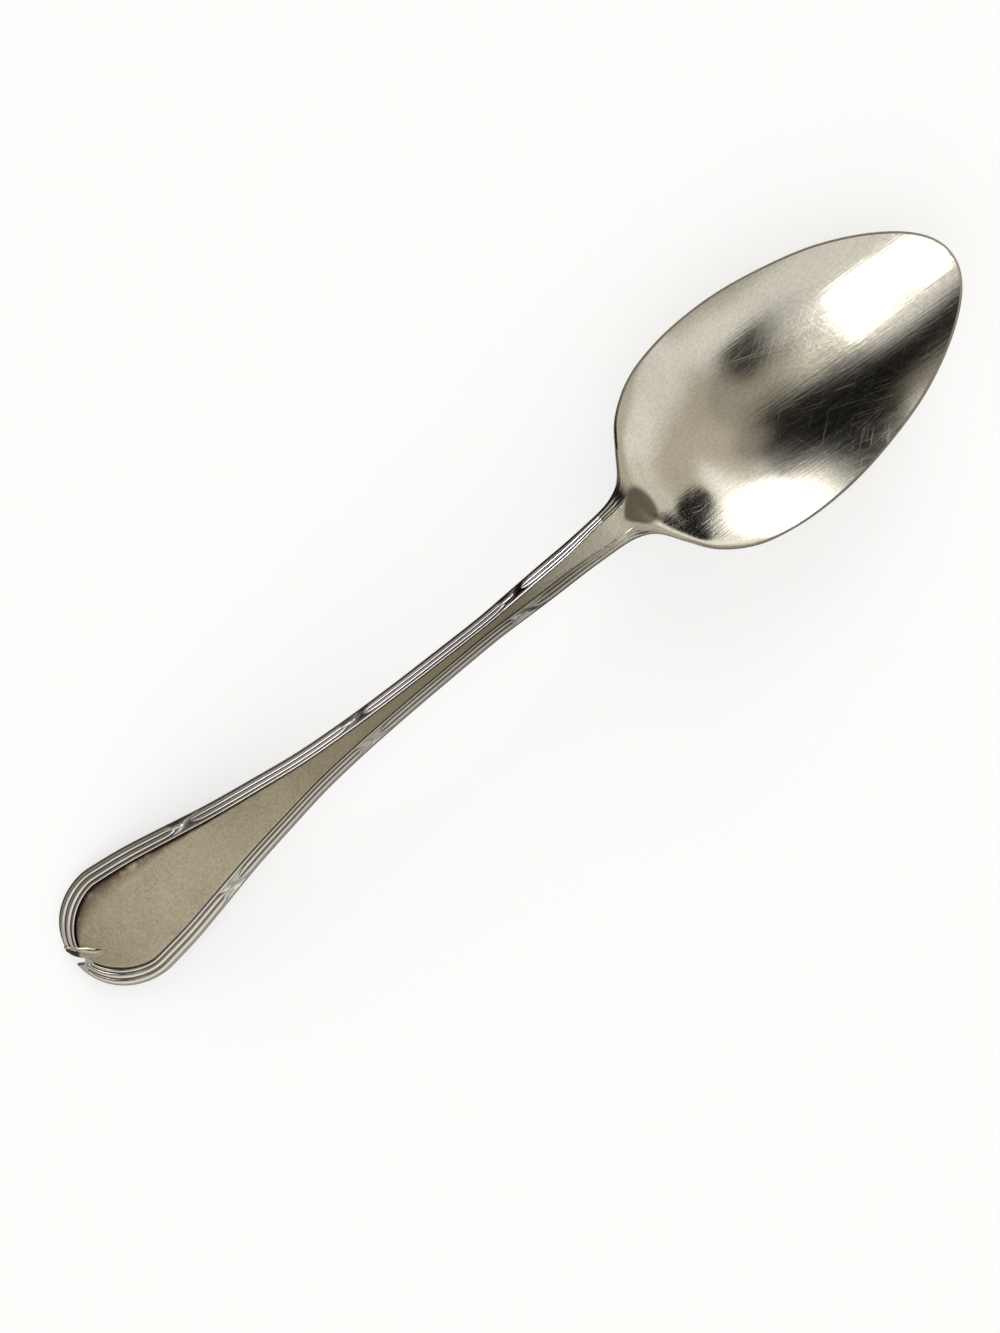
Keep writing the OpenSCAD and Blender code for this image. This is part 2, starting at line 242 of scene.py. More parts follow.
def softened(rows, step, width, odd=()):
    """Average of the rows under a bell curve of that width, for rows a step apart. Past either end the
    rows go on as in a mirror, and the odd columns change their sign there."""
    weights, reach = bell(step, width)
    sign = np.ones(rows.shape[1])
    sign[list(odd)] = -1
    longer = np.concatenate([rows[reach:0:-1] * sign, rows, rows[-2:-reach - 2:-1] * sign])
    return np.stack([np.convolve(column, weights, "valid") for column in longer.T], 1)


def eased_ends(values, step, width):
    """Average of values a step apart under a bell curve, going on straight past both ends."""
    weights, reach = bell(step, width)
    before = 2 * values[0] - values[reach:0:-1]
    after = 2 * values[-1] - values[-2:-reach - 2:-1]
    return np.convolve(np.concatenate([before, values, after]), weights, "valid")


# The spoon's form

def neck_share(x):
    """How far x lies from the neck towards the bowl's tip, as a share of that length."""
    return (x - NECK_X) / BOWL_REACH


def handle_swell(x):
    """Share of the handle's swell at x: 1 along the rounded end."""
    return np.where(x <= CAP_X, 1, table(SWELL, (x - CAP_X) / (NECK_X - CAP_X)))


def handle_border(x):
    """Width of the border at x, which narrows a little at the neck."""
    near = eased_step(((x - CAP_X) / (NECK_X - CAP_X) - NECK_BORDER_START) / (1 - NECK_BORDER_START))
    return mixed(STEM_BORDER, TERMINAL_BORDER, handle_swell(x)) * mixed(1, NECK_BORDER_SHARE, near)


def handle_half(x):
    """Half the width of the handle at x."""
    return mixed(STEM_HALF, TERMINAL_HALF, handle_swell(x))


def outline():
    """Outer and inner edge of the border, then the bowl's edge, in even steps along the outer one.

    The rounded end is two curves |x/a|^p + |y/b|^p = 1, the handle follows its table of widths, and the
    bowl its curve in the plane. All are softened together, so that no corner is left where they meet.
    Returns the step and rows of outer x, outer y, inner x, inner y.
    """
    angle = np.radians(np.linspace(0, 90, CAP_POINTS))
    cos, sin = np.cos(angle), np.sin(angle)
    outer, inner = 2 / CAP_OUTER_POWER, 2 / CAP_INNER_POWER
    cap = np.stack([CAP_X - CAP_LENGTH * cos**outer, TERMINAL_HALF * sin**outer,
                    CAP_X - (CAP_LENGTH - TIP_BORDER) * cos**inner,
                    (TERMINAL_HALF - TERMINAL_BORDER) * sin**inner], 1)
    x = np.arange(CAP_X + HANDLE_STEP, NECK_X - HANDLE_STEP / 2, HANDLE_STEP)
    handle = np.stack([x, handle_half(x), x, handle_half(x) - handle_border(x)], 1)
    edge = through(BOWL_EDGE, EDGE_POINTS)
    neck_half = float(handle_half(NECK_X))
    join = (neck_half - BOWL_HALF * BOWL_EDGE[1][1]) * np.clip(1 - edge[:, 0] / SECTION_SHARE, 0, 1)
    bowl_x, bowl_y = NECK_X + BOWL_REACH * edge[:, 0], np.maximum(BOWL_HALF * edge[:, 1] + join, 0)
    blend = eased_step(edge[:, 0] / SECTION_SHARE)
    inner_share = mixed(1 - float(handle_border(NECK_X)) / neck_half, BOWL_INNER_SHARE, blend)
    bowl = np.stack([bowl_x, bowl_y, bowl_x, bowl_y * inner_share], 1)
    rows = np.concatenate([cap, handle, bowl])
    along = np.concatenate([[0], np.cumsum(np.hypot(*np.diff(rows[:, :2], axis=0).T))])
    step = along[-1] / round(along[-1] / OUTLINE_STEP)
    even = np.arange(0, along[-1] + step / 2, step)
    rows = np.stack([np.interp(even, along, column) for column in rows.T], 1)
    rows = softened(rows, step, OUTLINE_SOFTNESS, odd=(1, 3))
    low, high = rows[0, 0], rows[-1, 0]
    rows[:, 0::2] = END_X + (rows[:, 0::2] - low) * (TIP_X - END_X) / (high - low)
    rows[:, 1] *= BOWL_HALF / rows[:, 1].max()
    return step, rows


def heights():
    """Tables over x, in even steps: top of the panel and rim, thickness, and height of the side face.

    Each is mixed between its value at the terminal and on the stem by the handle's swell, and goes over
    into the bowl's along the neck. The panel's top is the arch plus the thickness.
    """
    x = np.arange(END_X, TIP_X + HEIGHT_STEP / 2, HEIGHT_STEP)
    swell, v = handle_swell(x), neck_share(x)
    under = ARCH_RISE * table(ARCH, (x - END_X) / (NECK_X - END_X)) - WEAR_DEPTH
    thick = mixed(STEM_THICKNESS, TERMINAL_THICKNESS, swell)
    form = bpy.context.scene.spoon_form
    depth, floor, rim = form.bowl_depth / MM, form.floor_thickness / MM, form.rim_thickness / MM
    neck_swell = float(handle_swell(NECK_X))
    neck_thick = mixed(STEM_THICKNESS, TERMINAL_THICKNESS, neck_swell)
    neck_edge = mixed(STEM_EDGE, TERMINAL_EDGE, neck_swell)
    neck_top = ARCH_RISE * ARCH[-1][1] - WEAR_DEPTH + neck_thick
    rim_height = depth + floor - WEAR_DEPTH
    rim_z = mixed(rim_height, neck_top, table(RIM, v))
    handle = x < NECK_X
    top = np.where(handle, under + thick, rim_z)
    thin = rim + (neck_thick - rim) * (1 - eased_step(v / THINNING_SHARE))
    lip = mixed(neck_edge, rim, eased_step(v / SECTION_SHARE))
    columns = [top, np.where(handle, thick, thin),
               np.where(handle, mixed(STEM_EDGE, TERMINAL_EDGE, swell), lip)]
    return x, [eased_ends(c, HEIGHT_STEP, HEIGHT_SOFTNESS) for c in columns]


def row_places(step, rows):
    """Places of the rows along the outline, and the row at which each region of the spoon starts."""
    along = np.arange(len(rows)) * step
    # The knot's edge is looked for up to 1 mm short of the handle's widest place
    far = np.argmax(rows[:, 1] > TERMINAL_HALF - 1)
    knot = np.interp(KNOT_HALF, rows[:far, 1], along[:far])
    start = np.argmax(rows[:, 0] > CAP_X)
    marks = [x for ends in CROSSINGS for x in ends] + [NECK_X, BOWL_X]
    breaks = [0, knot] + [np.interp(x, rows[start:, 0], along[start:]) for x in marks] + [along[-1]]
    kinds = ["knot", "reeds"] + ["ribbon", "reeds"] * len(CROSSINGS) + ["neck", "bowl"]
    places, starts = [np.zeros(1)], [0]
    for kind, a, b in zip(kinds, breaks, breaks[1:]):
        count = max(2, int(round((b - a) / ROW_STEPS[kind])))
        places.append(np.linspace(a, b, count + 1)[1:])
        starts.append(starts[-1] + count)
    return np.concatenate(places), starts, along


# Power of the rounding of a reed and of a sharper one, and of the bundle's height over its width
REED_POWER = 0.85
SHARP_POWER = 1.3
CLOSING_POWER = 0.55


def rounded_reed(t, power=REED_POWER):
    """Height of a reed across its width, t from -1 to 1: (1 - t squared) to a power."""
    return np.clip(1 - t**2, 0, 1) ** power


def tip_shape(distance, length):
    """Width of a bundle of reeds near its rounded end: a quarter of an ellipse of that length."""
    u = np.clip(distance / length, 0, 1)
    return np.sqrt(1 - (1 - u) ** 2)


def bell_shape(distance, width):
    """Height of a bell curve of that width: e to the power of minus half the squared distance."""
    return np.exp(-0.5 * (distance / width) ** 2)


# Across the border, from 0 beside the panel to 1 at the outer edge: middle and half width of the groove,
# of the thin inner reed, and of the bundle of the two outer ones, and where its ground starts
GROOVE_MIDDLE = 0.045
GROOVE_HALF = 0.05
INNER_MIDDLE = 0.165
INNER_HALF = 0.115
BUNDLE_MIDDLE = 0.635
BUNDLE_HALF = 0.345
BUNDLE_GROUND = 0.27
# Heights as shares of an outer reed's: the inner reed, the ribbon, its bead, and all reeds on the stem
INNER_SHARE = 0.8
RIBBON_SHARE = 0.7
BEAD_SHARE = 0.75
STEM_REED_SHARE = 0.62
# The right side's reeds sink to this share of their height at the neck. They start to sink this far
# before the last crossing, in millimetres, and have sunk after this length.
RIGHT_NECK_SHARE = 0.5
RIGHT_NECK_LEAD = 2
RIGHT_NECK_LENGTH = 12
# Widths of the cuts beside the bundle and down its middle, in bundle half widths, and their share of the
# groove's depth
SIDE_CUT_WIDTH = 0.09
MIDDLE_CUT_WIDTH = 0.07
CUT_SHARE = 0.3
# The reeds fade out over this share of the neck's and bowl's length, on the left after those on the right
NECK_FADE_SHARE = 0.08
NECK_FADE_LAG = {1: 0.3, -1: -0.1}
# Where the reeds start beside the knot, in millimetres along the outline. On the left the first value is
# beside the panel and the second at the edge.
LEFT_START = (1.7, 3.1)
LEFT_START_LENGTH = 0.5
# On the right the inner reed has one start and the bundle two, from one to the other across this part of
# the border, and each has a rounded tip of its own length
RIGHT_INNER_START = 3.4
RIGHT_INNER_TIP = 2.2
RIGHT_BUNDLE_START = (2.0, 3.3)
RIGHT_BUNDLE_STEP_FROM = 0.45
RIGHT_BUNDLE_STEP = 0.35
RIGHT_BUNDLE_TIP = 1.8


def openings(q, turn, sign):
    """How far the inner reed and the outer bundle have risen beside the knot, each from 0 to 1. On the
    left both rise along one slanting line, and on the right each has a rounded tip."""
    if sign > 0:
        both = eased_step((turn - mixed(*LEFT_START, q)) / LEFT_START_LENGTH)
        return both, both
    begin = mixed(*RIGHT_BUNDLE_START, eased_step((q - RIGHT_BUNDLE_STEP_FROM) / RIGHT_BUNDLE_STEP))
    return tip_shape(turn - RIGHT_INNER_START, RIGHT_INNER_TIP), tip_shape(turn - begin, RIGHT_BUNDLE_TIP)


# A crossing in millimetres: how far inside its ends the ribbon lies, the lengths of the bundle's two
# rounded points, and half the length of the bead
RIBBON_INSETS = (1.1, 0.2)
POINT_LENGTHS = (2.6, 3.4)
BEAD_HALF = 1.9
# Across the border: the ribbon's crest at its two ends, its width, and the bead's middle and half width
CREST = (0.36, 0.98)
RIBBON_WIDTH = 0.15
BEAD_MIDDLE = 0.70
BEAD_WIDTH = 0.13
# Along the ribbon, from 0 to 1: how far its slant has come where it starts, how far it goes over its
# length, and how far from its middle it runs out. The bead is cut off at this share of its half length.
SLANT_START = 0.15
SLANT_RUN = 0.8
RIBBON_REACH = 0.85
BEAD_BACK = -0.6
BEAD_LEAST = 0.01
# A bundle narrower than this has a ribbon over it
FULL_BUNDLE = 0.98


def crossing(x, q, start, end):
    """One crossing: the bundle's share of its width, and the heights of the ribbon and of its bead.

    The bundle closes to a rounded point on each side. The ribbon is a bell-shaped crest that runs
    slanting from beside the panel to the outer edge. The bead is a short reed with a rounded outline.
    """
    first, last = start + RIBBON_INSETS[0], end - RIBBON_INSETS[1]
    width = np.where(x < (first + last) / 2, tip_shape(first - x, POINT_LENGTHS[0]),
                     tip_shape(x - last, POINT_LENGTHS[1]))
    place = (x - first) / (last - first)
    crest = mixed(*CREST, eased_step(SLANT_START + SLANT_RUN * place))
    inside = np.clip(1 - np.abs(place - 0.5) / RIBBON_REACH, 0, 1) ** 0.5
    ribbon = RIBBON_SHARE * inside * bell_shape(q - crest, RIBBON_WIDTH) * (q > BUNDLE_GROUND)
    bead = (x - first) / BEAD_HALF
    bead_half = BEAD_WIDTH * np.sqrt(np.clip(1 - bead**2, 0, 1)) * (bead > BEAD_BACK)
    bead = BEAD_SHARE * rounded_reed((q - BEAD_MIDDLE) / np.maximum(bead_half, SLIGHT), SHARP_POWER)
    return width, ribbon, bead * (bead_half > BEAD_LEAST)


def relief(x, q, sign, turn):
    """Rise of the border's metal over its plain slope.

    q is the place across the border, 0 beside the panel and 1 at the outer edge. A thin inner reed runs
    unbroken along the panel, beyond a groove. The two outer reeds are a bundle, with a cut on either
    side and one between them, that closes where a ribbon crosses it. All are lower on the stem, lower
    again at the neck's right side, and fade out on the neck. turn is the distance along the outline from
    the handle's end, where the reeds start on either side of the knot.
    """
    form = bpy.context.scene.spoon_form
    height, groove = form.reed_height / MM, form.groove_depth / MM
    fade = 1 - eased_step(neck_share(x) / NECK_FADE_SHARE - NECK_FADE_LAG[sign])
    opening, bundle_opening = openings(q, turn, sign)
    inner = rounded_reed((q - INNER_MIDDLE) / INNER_HALF) * INNER_SHARE * opening
    width, ribbons = np.ones_like(x), np.zeros_like(x)
    for start, end in CROSSINGS:
        near, ribbon, bead = crossing(x, q, start, end)
        width = np.minimum(width, near)
        ribbons = ribbons + ribbon + bead
    t = (q - BUNDLE_MIDDLE) / np.maximum(BUNDLE_HALF * width, SLIGHT)
    pair = rounded_reed(2 * np.abs(t) - 1, mixed(SHARP_POWER, REED_POWER, width**2))
    pair = np.where(np.abs(t) < 1, pair, 0)
    bundle = pair * width**CLOSING_POWER * bundle_opening
    gap = bell_shape(np.abs(t) - 1, SIDE_CUT_WIDTH) + bell_shape(t, MIDDLE_CUT_WIDTH)
    cut = rounded_reed((q - GROOVE_MIDDLE) / GROOVE_HALF) + CUT_SHARE * gap * width * (q > BUNDLE_GROUND)
    cut = groove * cut * opening
    over = np.maximum(bundle, np.minimum(ribbons, 1) * (width < FULL_BUNDLE))
    slender = mixed(STEM_REED_SHARE, 1, handle_swell(x))
    if sign < 0:
        sinking = eased_step((x - CROSSINGS[-1][0] + RIGHT_NECK_LEAD) / RIGHT_NECK_LENGTH)
        slender = slender * mixed(1, RIGHT_NECK_SHARE, sinking)
    return (height * (inner + over) - cut) * fade * slender


# The notch beside the knot: where it starts, is deepest and ends along the outline, in millimetres from
# the handle's end and below 0 on the right, and how steeply it starts
NOTCH_FROM = 2.6
NOTCH_AT = -0.25
NOTCH_TO = -0.5
NOTCH_STEEPNESS = 1.8
# How far the rows round it slant, and over what length
NOTCH_SLANT = 1.2
SLANT_LENGTH = 4


def knot_notch(place):
    """Depth of the notch, which is the lower of two straight slopes, and how far the metal slants."""
    depth = np.minimum(NOTCH_STEEPNESS * (NOTCH_FROM - place) / (NOTCH_FROM - NOTCH_AT),
                       (place - NOTCH_TO) / (NOTCH_AT - NOTCH_TO))
    depth = bpy.context.scene.spoon_form.notch_depth / MM * np.clip(depth, 0, 1)
    return depth, NOTCH_SLANT * eased_step(1 - np.abs(place) / SLANT_LENGTH)


def half_surface(sign):
    """Half of the spoon's skin as rows from the handle's end to the bowl's tip, and columns from the
    middle of the top, out over the edge and back to the middle of the underside.

    Over the panel and the bowl the top is the rim's height less the hollow times (1 - share^power), and
    the border falls from it by its place across to a power. At the shoulder the hollow's shape is
    (1 - share^2)^power instead, which leaves a flat lip. The underside lies lower by the edge's height,
    and by the rest of the thickness times (1 - share^power).

    sign is 1 for the left half. v is the place along the neck and bowl, w the one across the panel and q
    the one across the border, each from 0 to 1. Returns the points, three values that the finishes
    read, and the places and starts of the rows.
    """
    form = bpy.context.scene.spoon_form
    step, rows = outline()
    places, starts, along = row_places(step, rows)
    tangent = np.gradient(rows[:, :2], step, axis=0)
    tangent /= np.hypot(*tangent.T)[:, None]

    def at(column):
        """A column of the outline, read at the rows' places."""
        return np.interp(places, along, column)[:, None]

    ox, oy, ix, iy = (at(column) for column in rows.T)
    turn = places[:, None]
    v = neck_share(ox)
    blend = eased_step(v / SECTION_SHARE)

    # The way outwards: across the border on the handle, and square to the edge on the bowl
    square = eased_step(v / SQUARE_SHARE)
    across = np.hypot(ox - ix, oy - iy)
    outward = [mixed((ox - ix) / np.maximum(across, TINY), -at(tangent[:, 1]), square),
               mixed((oy - iy) / np.maximum(across, TINY), at(tangent[:, 0]), square)]
    size = np.hypot(*outward)
    dx, dy = outward[0] / size, outward[1] / size
    # At the bowl's tip the rows draw back with the edge's roundings, so that none reaches past them
    ix = ix - TIP_INSET * dx * eased_step((v - TIP_INSET_FROM) / TIP_INSET_SHARE)
    notch, slant = knot_notch(turn * sign)

    def plan(share, inset):
        """Places at a share of the border's width, and an inset from its outer edge in millimetres."""
        reach = share * (1 - (inset + notch) / np.maximum(across, TINY))
        x, y = ix + (ox - ix) * reach, iy + (oy - iy) * reach
        square_x, square_y = ox - dx * inset, oy - dy * inset
        return (mixed(x, ix + (square_x - ix) * share, square),
                mixed(y, iy + (square_y - iy) * share, square) - slant * 4 * reach * (1 - reach) * sign)

    flat = mixed(HANDLE_FLAT, form.rim_flat / MM, blend)
    top_round = mixed(*TOP_ROUND, blend)

    x_table, (top_table, thick_table, edge_table) = heights()
    half_neck = float(handle_half(NECK_X))
    depth, floor, rim = form.bowl_depth / MM, form.floor_thickness / MM, form.rim_thickness / MM
    hollow = depth * np.maximum(oy**2 - half_neck**2 * np.clip(1 - v / HOLLOW_SHARE, 0, 1), 0)
    hollow = np.where(v > 0, hollow / BOWL_HALF**2, 0)
    fall = BORDER_FALL * (1 - blend)

    # The top: panel, then border
    w = np.arange(PANEL_STEPS) / PANEL_STEPS
    steps = np.linspace(0, 1, BORDER_STEPS + 1)[None, :]
    q = mixed(steps, 1 - (1 - steps) ** EDGE_CROWDING, blend)
    inner_share = np.where(oy > SLIGHT, iy / np.maximum(oy, TINY), BOWL_INNER_SHARE)
    border_x, border_y = plan(q, flat + top_round)
    x = np.concatenate([ix * np.ones_like(w), border_x], 1)
    y = np.concatenate([iy * w, border_y], 1)
    share = np.concatenate([inner_share * w, mixed(inner_share, 1, q)], 1)
    level = np.zeros((len(q), PANEL_STEPS))
    rise = relief(border_x, q * (1 - notch / np.maximum(across, TINY)), sign, turn)
    rise = np.concatenate([level, rise], 1)
    lip_share = 1 - eased_step((v - SHOULDER_FROM) / (SHOULDER_TO - SHOULDER_FROM))
    bowl_shape = mixed(1 - share**BOWL_POWER, (1 - share**2) ** SHOULDER_POWER, lip_share)
    z = (np.interp(x, x_table, top_table) - hollow * bowl_shape
         - fall * np.concatenate([level, q], 1) ** FALL_POWER + rise)

    # The underside: border, then panel
    lip = np.interp(ox, x_table, edge_table) + fall
    thick = np.interp(ox, x_table, thick_table) + np.where(v > 0, (floor - rim) * hollow / depth, 0)
    power = mixed(BACK_POWER, BOWL_POWER, blend)
    under_q = np.linspace(1, 0, UNDER_BORDER_STEPS + 1)[None, :] + 0 * v
    under_w = np.linspace(1, 0, UNDER_PANEL_STEPS + 1)[None, 1:] + 0 * v
    under_x, under_y = plan(under_q, UNDER_ROUND)
    under_x = np.concatenate([under_x, ix * np.ones_like(under_w)], 1)
    under_y = np.concatenate([under_y, iy * under_w], 1)
    under_share = np.concatenate([mixed(inner_share, 1, under_q), inner_share * under_w], 1)
    under_z = np.interp(under_x, x_table, top_table) - lip
    under_z = np.maximum(under_z - (hollow + thick - lip) * (1 - under_share**power), 0)

    # The edge: a narrow flat, a small rounding, the side face and a larger rounding
    z_top, z_under = z[:, -1:], under_z[:, :1]
    phi = np.radians(90) * np.arange(1, ARC_STEPS + 1)[None, :] / ARC_STEPS
    insets = [top_round, *np.split(top_round * (1 - np.sin(phi)), ARC_STEPS, 1)]
    drops = [z_top, *np.split(z_top - top_round * (1 - np.cos(phi)), ARC_STEPS, 1)]
    phi = np.radians(90) * np.arange(0, ARC_STEPS)[None, :] / ARC_STEPS
    insets += [0, *np.split(UNDER_ROUND * (1 - np.cos(phi)), ARC_STEPS, 1)]
    drops += [(z_top - top_round + z_under + UNDER_ROUND) / 2,
              *np.split(z_under + UNDER_ROUND * (1 - np.sin(phi)), ARC_STEPS, 1)]
    corners = [plan(np.ones_like(v), inset) for inset in insets]
    edge_x, edge_y = (np.concatenate([corner[k] for corner in corners], 1) for k in (0, 1))
    points = np.stack([np.concatenate([x, edge_x, under_x], 1),
                       np.concatenate([y, edge_y, under_y], 1) * sign,
                       np.concatenate([z, *drops, under_z], 1)], 2)
    # Both halves end on the middle line
    points[-1, :, 1] = 0

    # For the finishes: the relief, the place from the middle out to 3 on the side face, signed by its
    # side, and the same unsigned
    worn = np.concatenate([rise, np.zeros((len(v), COLUMNS - TOP))], 1)
    edge = np.full((len(v), EDGE), 3.0)
    edge[:, [0, -1]] = 2
    place = np.concatenate([w + 0 * v, 1 + steps + 0 * v, edge, 1 + under_q, under_w], 1) * sign
    return points, np.stack([worn, place, np.abs(place)], 2), places, starts


def unit(normals):
    """The same directions, each of length 1."""
    return normals / np.maximum(np.linalg.norm(normals, axis=2, keepdims=True), SHORTEST)


def skin_normals(near, far, places, sign):
    """Normals of one half from the slopes along its rows and columns, read across the middle line and
    round both ends into the other half, so that the halves and their regions shade as one."""
    wide = np.concatenate([far[:, 1:2], near, far[:, -2:-1]], 1)
    long = np.concatenate([far[1:2], near, far[-2:-1]], 0)
    s = np.concatenate([[-places[1]], places, [2 * places[-1] - places[-2]]])
    normals = np.cross(np.gradient(long, s, axis=0)[1:-1], wide[:, 2:] - wide[:, :-2]) * sign
    size = np.linalg.norm(normals, axis=2)
    normals = unit(normals)
    # Where the first and last row come together in a point, the row beside them gives the direction
    for row, beside in ((0, 1), (-1, -2)):
        lost = size[row] < LOST_NORMAL
        normals[row, lost] = normals[beside, lost] * (1, 0, 1)
    return unit(normals)


def spoon_skin():
    """Both halves: points, normals, relief, and the first row of each region."""
    left, worn_left, places, starts = half_surface(1)
    right, worn_right, _, _ = half_surface(-1)
    return {"points": {1: left, -1: right}, "worn": {1: worn_left, -1: worn_right}, "starts": starts,
            "normals": {1: skin_normals(left, right, places, 1), -1: skin_normals(right, left, places, -1)}}


# Meshes

# The values that the finishes read from the mesh, and how many steps in a millimetre tell corners apart
ATTRIBUTES = ("relief", "across", "outward")
CORNER_STEPS = 2e4


def ring_block(skin, side, rows, columns):
    """Points, normals and finish values of the rows and columns of one side."""
    pick = np.ix_(np.arange(*rows), columns)
    return [skin[what][side][pick] for what in ("points", "normals", "worn")]


def closed_piece(name, blocks, material, replaces):
    """One closed solid from rings of corners: quads between neighbouring rings, flat walls where the
    piece meets its neighbours, and a face across each open end. Corners that coincide become one.

    A block is its points, normals and finish values, the columns whose quads are walls, whether its
    faces run forward, and whether its first and last ring are closed with a face.
    """
    points, normals, worn, faces, smooth = [], [], [], [], []
    base = 0
    for (p, n, r), walls, forward, caps in blocks:
        rows, columns = p.shape[:2]
        grid = base + np.arange(rows * columns).reshape(rows, columns)
        after = np.roll(grid, -1, axis=1)
        quads = np.stack([grid[:-1], grid[1:], after[1:], after[:-1]], 2)
        skins = np.ones((rows - 1, columns), bool)
        skins[:, walls] = False
        quads = quads.reshape(-1, 4) if forward else quads.reshape(-1, 4)[:, ::-1]
        faces += list(quads)
        smooth += list(skins.ravel())
        for cap, ring in zip(caps, (grid[0], grid[-1][::-1])):
            if cap:
                faces.append(ring if forward else ring[::-1])
                smooth.append(False)
        points.append(p.reshape(-1, 3))
        normals.append(n.reshape(-1, 3))
        worn.append(r.reshape(-1, len(ATTRIBUTES)))
        base += rows * columns
    points, normals, worn = np.concatenate(points), np.concatenate(normals), np.concatenate(worn)

    # Corners that coincide become one, repeated corners of a face go, and so do faces of fewer than three
    places = np.rint(points * CORNER_STEPS).astype(np.int64)
    _, first, same = np.unique(places, axis=0, return_index=True, return_inverse=True)
    sizes = np.array([len(face) for face in faces])
    source = np.concatenate(faces)
    flat = same.ravel()[source]
    face_of = np.repeat(np.arange(len(faces)), sizes)
    starts = np.concatenate([[0], np.cumsum(sizes)[:-1]])
    following = np.roll(flat, -1)
    following[starts + sizes - 1] = flat[starts]
    keep = flat != following
    left = np.bincount(face_of[keep], minlength=len(faces))
    keep &= (left >= 3)[face_of]
    flat, source, face_of = flat[keep], source[keep], face_of[keep]
    used, counts = np.unique(face_of, return_counts=True)
    smooth = np.array(smooth)[used]

    mesh = bpy.data.meshes.new(name)
    mesh.vertices.add(len(first))
    mesh.vertices.foreach_set("co", (points[first] * MM).ravel())
    mesh.loops.add(len(flat))
    mesh.loops.foreach_set("vertex_index", flat.astype(np.int32))
    mesh.polygons.add(len(used))
    mesh.polygons.foreach_set("loop_start", np.concatenate([[0], np.cumsum(counts)[:-1]]).astype(np.int32))
    mesh.update(calc_edges=True)
    mesh.polygons.foreach_set("use_smooth", smooth)
    for label, values in zip(ATTRIBUTES, worn[first].T):
        data = mesh.attributes.new(label, "FLOAT", "POINT").data
        data.foreach_set("value", values.astype(np.float32))
    mesh.validate(verbose=False)
    loop_normals = normals[source] * np.repeat(smooth, counts)[:, None]
    mesh.normals_split_custom_set(loop_normals.tolist())
    piece = bpy.data.objects.new(name, mesh)
    bpy.context.scene.collection.objects.link(piece)
    mesh.materials.append(material)
    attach(piece, BODY)
    if replaces:
        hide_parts(*replaces)
    return piece


BORDER_COLUMNS = np.arange(INNER_TOP, INNER_UNDER + 1)


def border_block(skin, side, first, last, caps):
    """A stretch of the border on one side, with a wall where it meets the panel."""
    block = ring_block(skin, side, (first, last + 1), BORDER_COLUMNS)
    return block, [len(BORDER_COLUMNS) - 1], side > 0, caps


def whole_rings(skin, rows, columns_left, columns_right):
    """Rings round the whole spoon: out and back over the left side, then over the right."""
    left = ring_block(skin, 1, rows, columns_left)
    right = ring_block(skin, -1, rows, columns_right[::-1])
    return [np.concatenate([a, b], 1) for a, b in zip(left, right)]


def ring_normals(points):
    """Normals of a tube of rings from the slopes along it and round its rings."""
    around = np.roll(points, -1, axis=1) - np.roll(points, 1, axis=1)
    return unit(np.cross(np.gradient(points, axis=0), around))


# Edges of the knot's ribbon: share of its length, and place in the plan
KNOT_UPPER = [(0, (-101.70, 3.62)), (0.15, (-100.75, 2.85)), (0.3, (-99.9, 2.1)), (0.45, (-99.0, 1.2)),
              (0.6, (-98.1, 0.3)), (0.75, (-97.15, -0.55)), (0.88, (-96.4, -1.3)), (0.96, (-96.1, -2.0)),
              (1, (-96.2, -2.6))]
KNOT_LOWER = [(0, (-102.25, 2.6)), (0.15, (-101.85, 1.35)), (0.3, (-101.1, 0.3)), (0.45, (-100.2, -0.6)),
              (0.6, (-99.35, -1.4)), (0.75, (-98.2, -2.05)), (0.88, (-97.2, -2.35)), (0.96, (-96.6, -2.5)),
              (1, (-96.25, -2.68))]
KNOT_ROWS = 56
KNOT_COLUMNS = 30
# Its fold: height, middle and width across it, how far the middle sways, and where the fold runs out
FOLD_HEIGHT = 0.42
FOLD_MIDDLE = 0.80
FOLD_WIDTH = 0.15
FOLD_SWAY = 0.06
SWAY_TURN = 6.3
FOLD_TO = 0.97
FOLD_FADE = 0.5
# Its flat: height, and its lift over and its sinking into the metal below
FLAT_HEIGHT = 0.16
KNOT_LIFT = 0.02
KNOT_SINK = 0.2
# The place across the spoon at which the finishes take it to lie: on the panel
KNOT_OUTWARD = 0.6


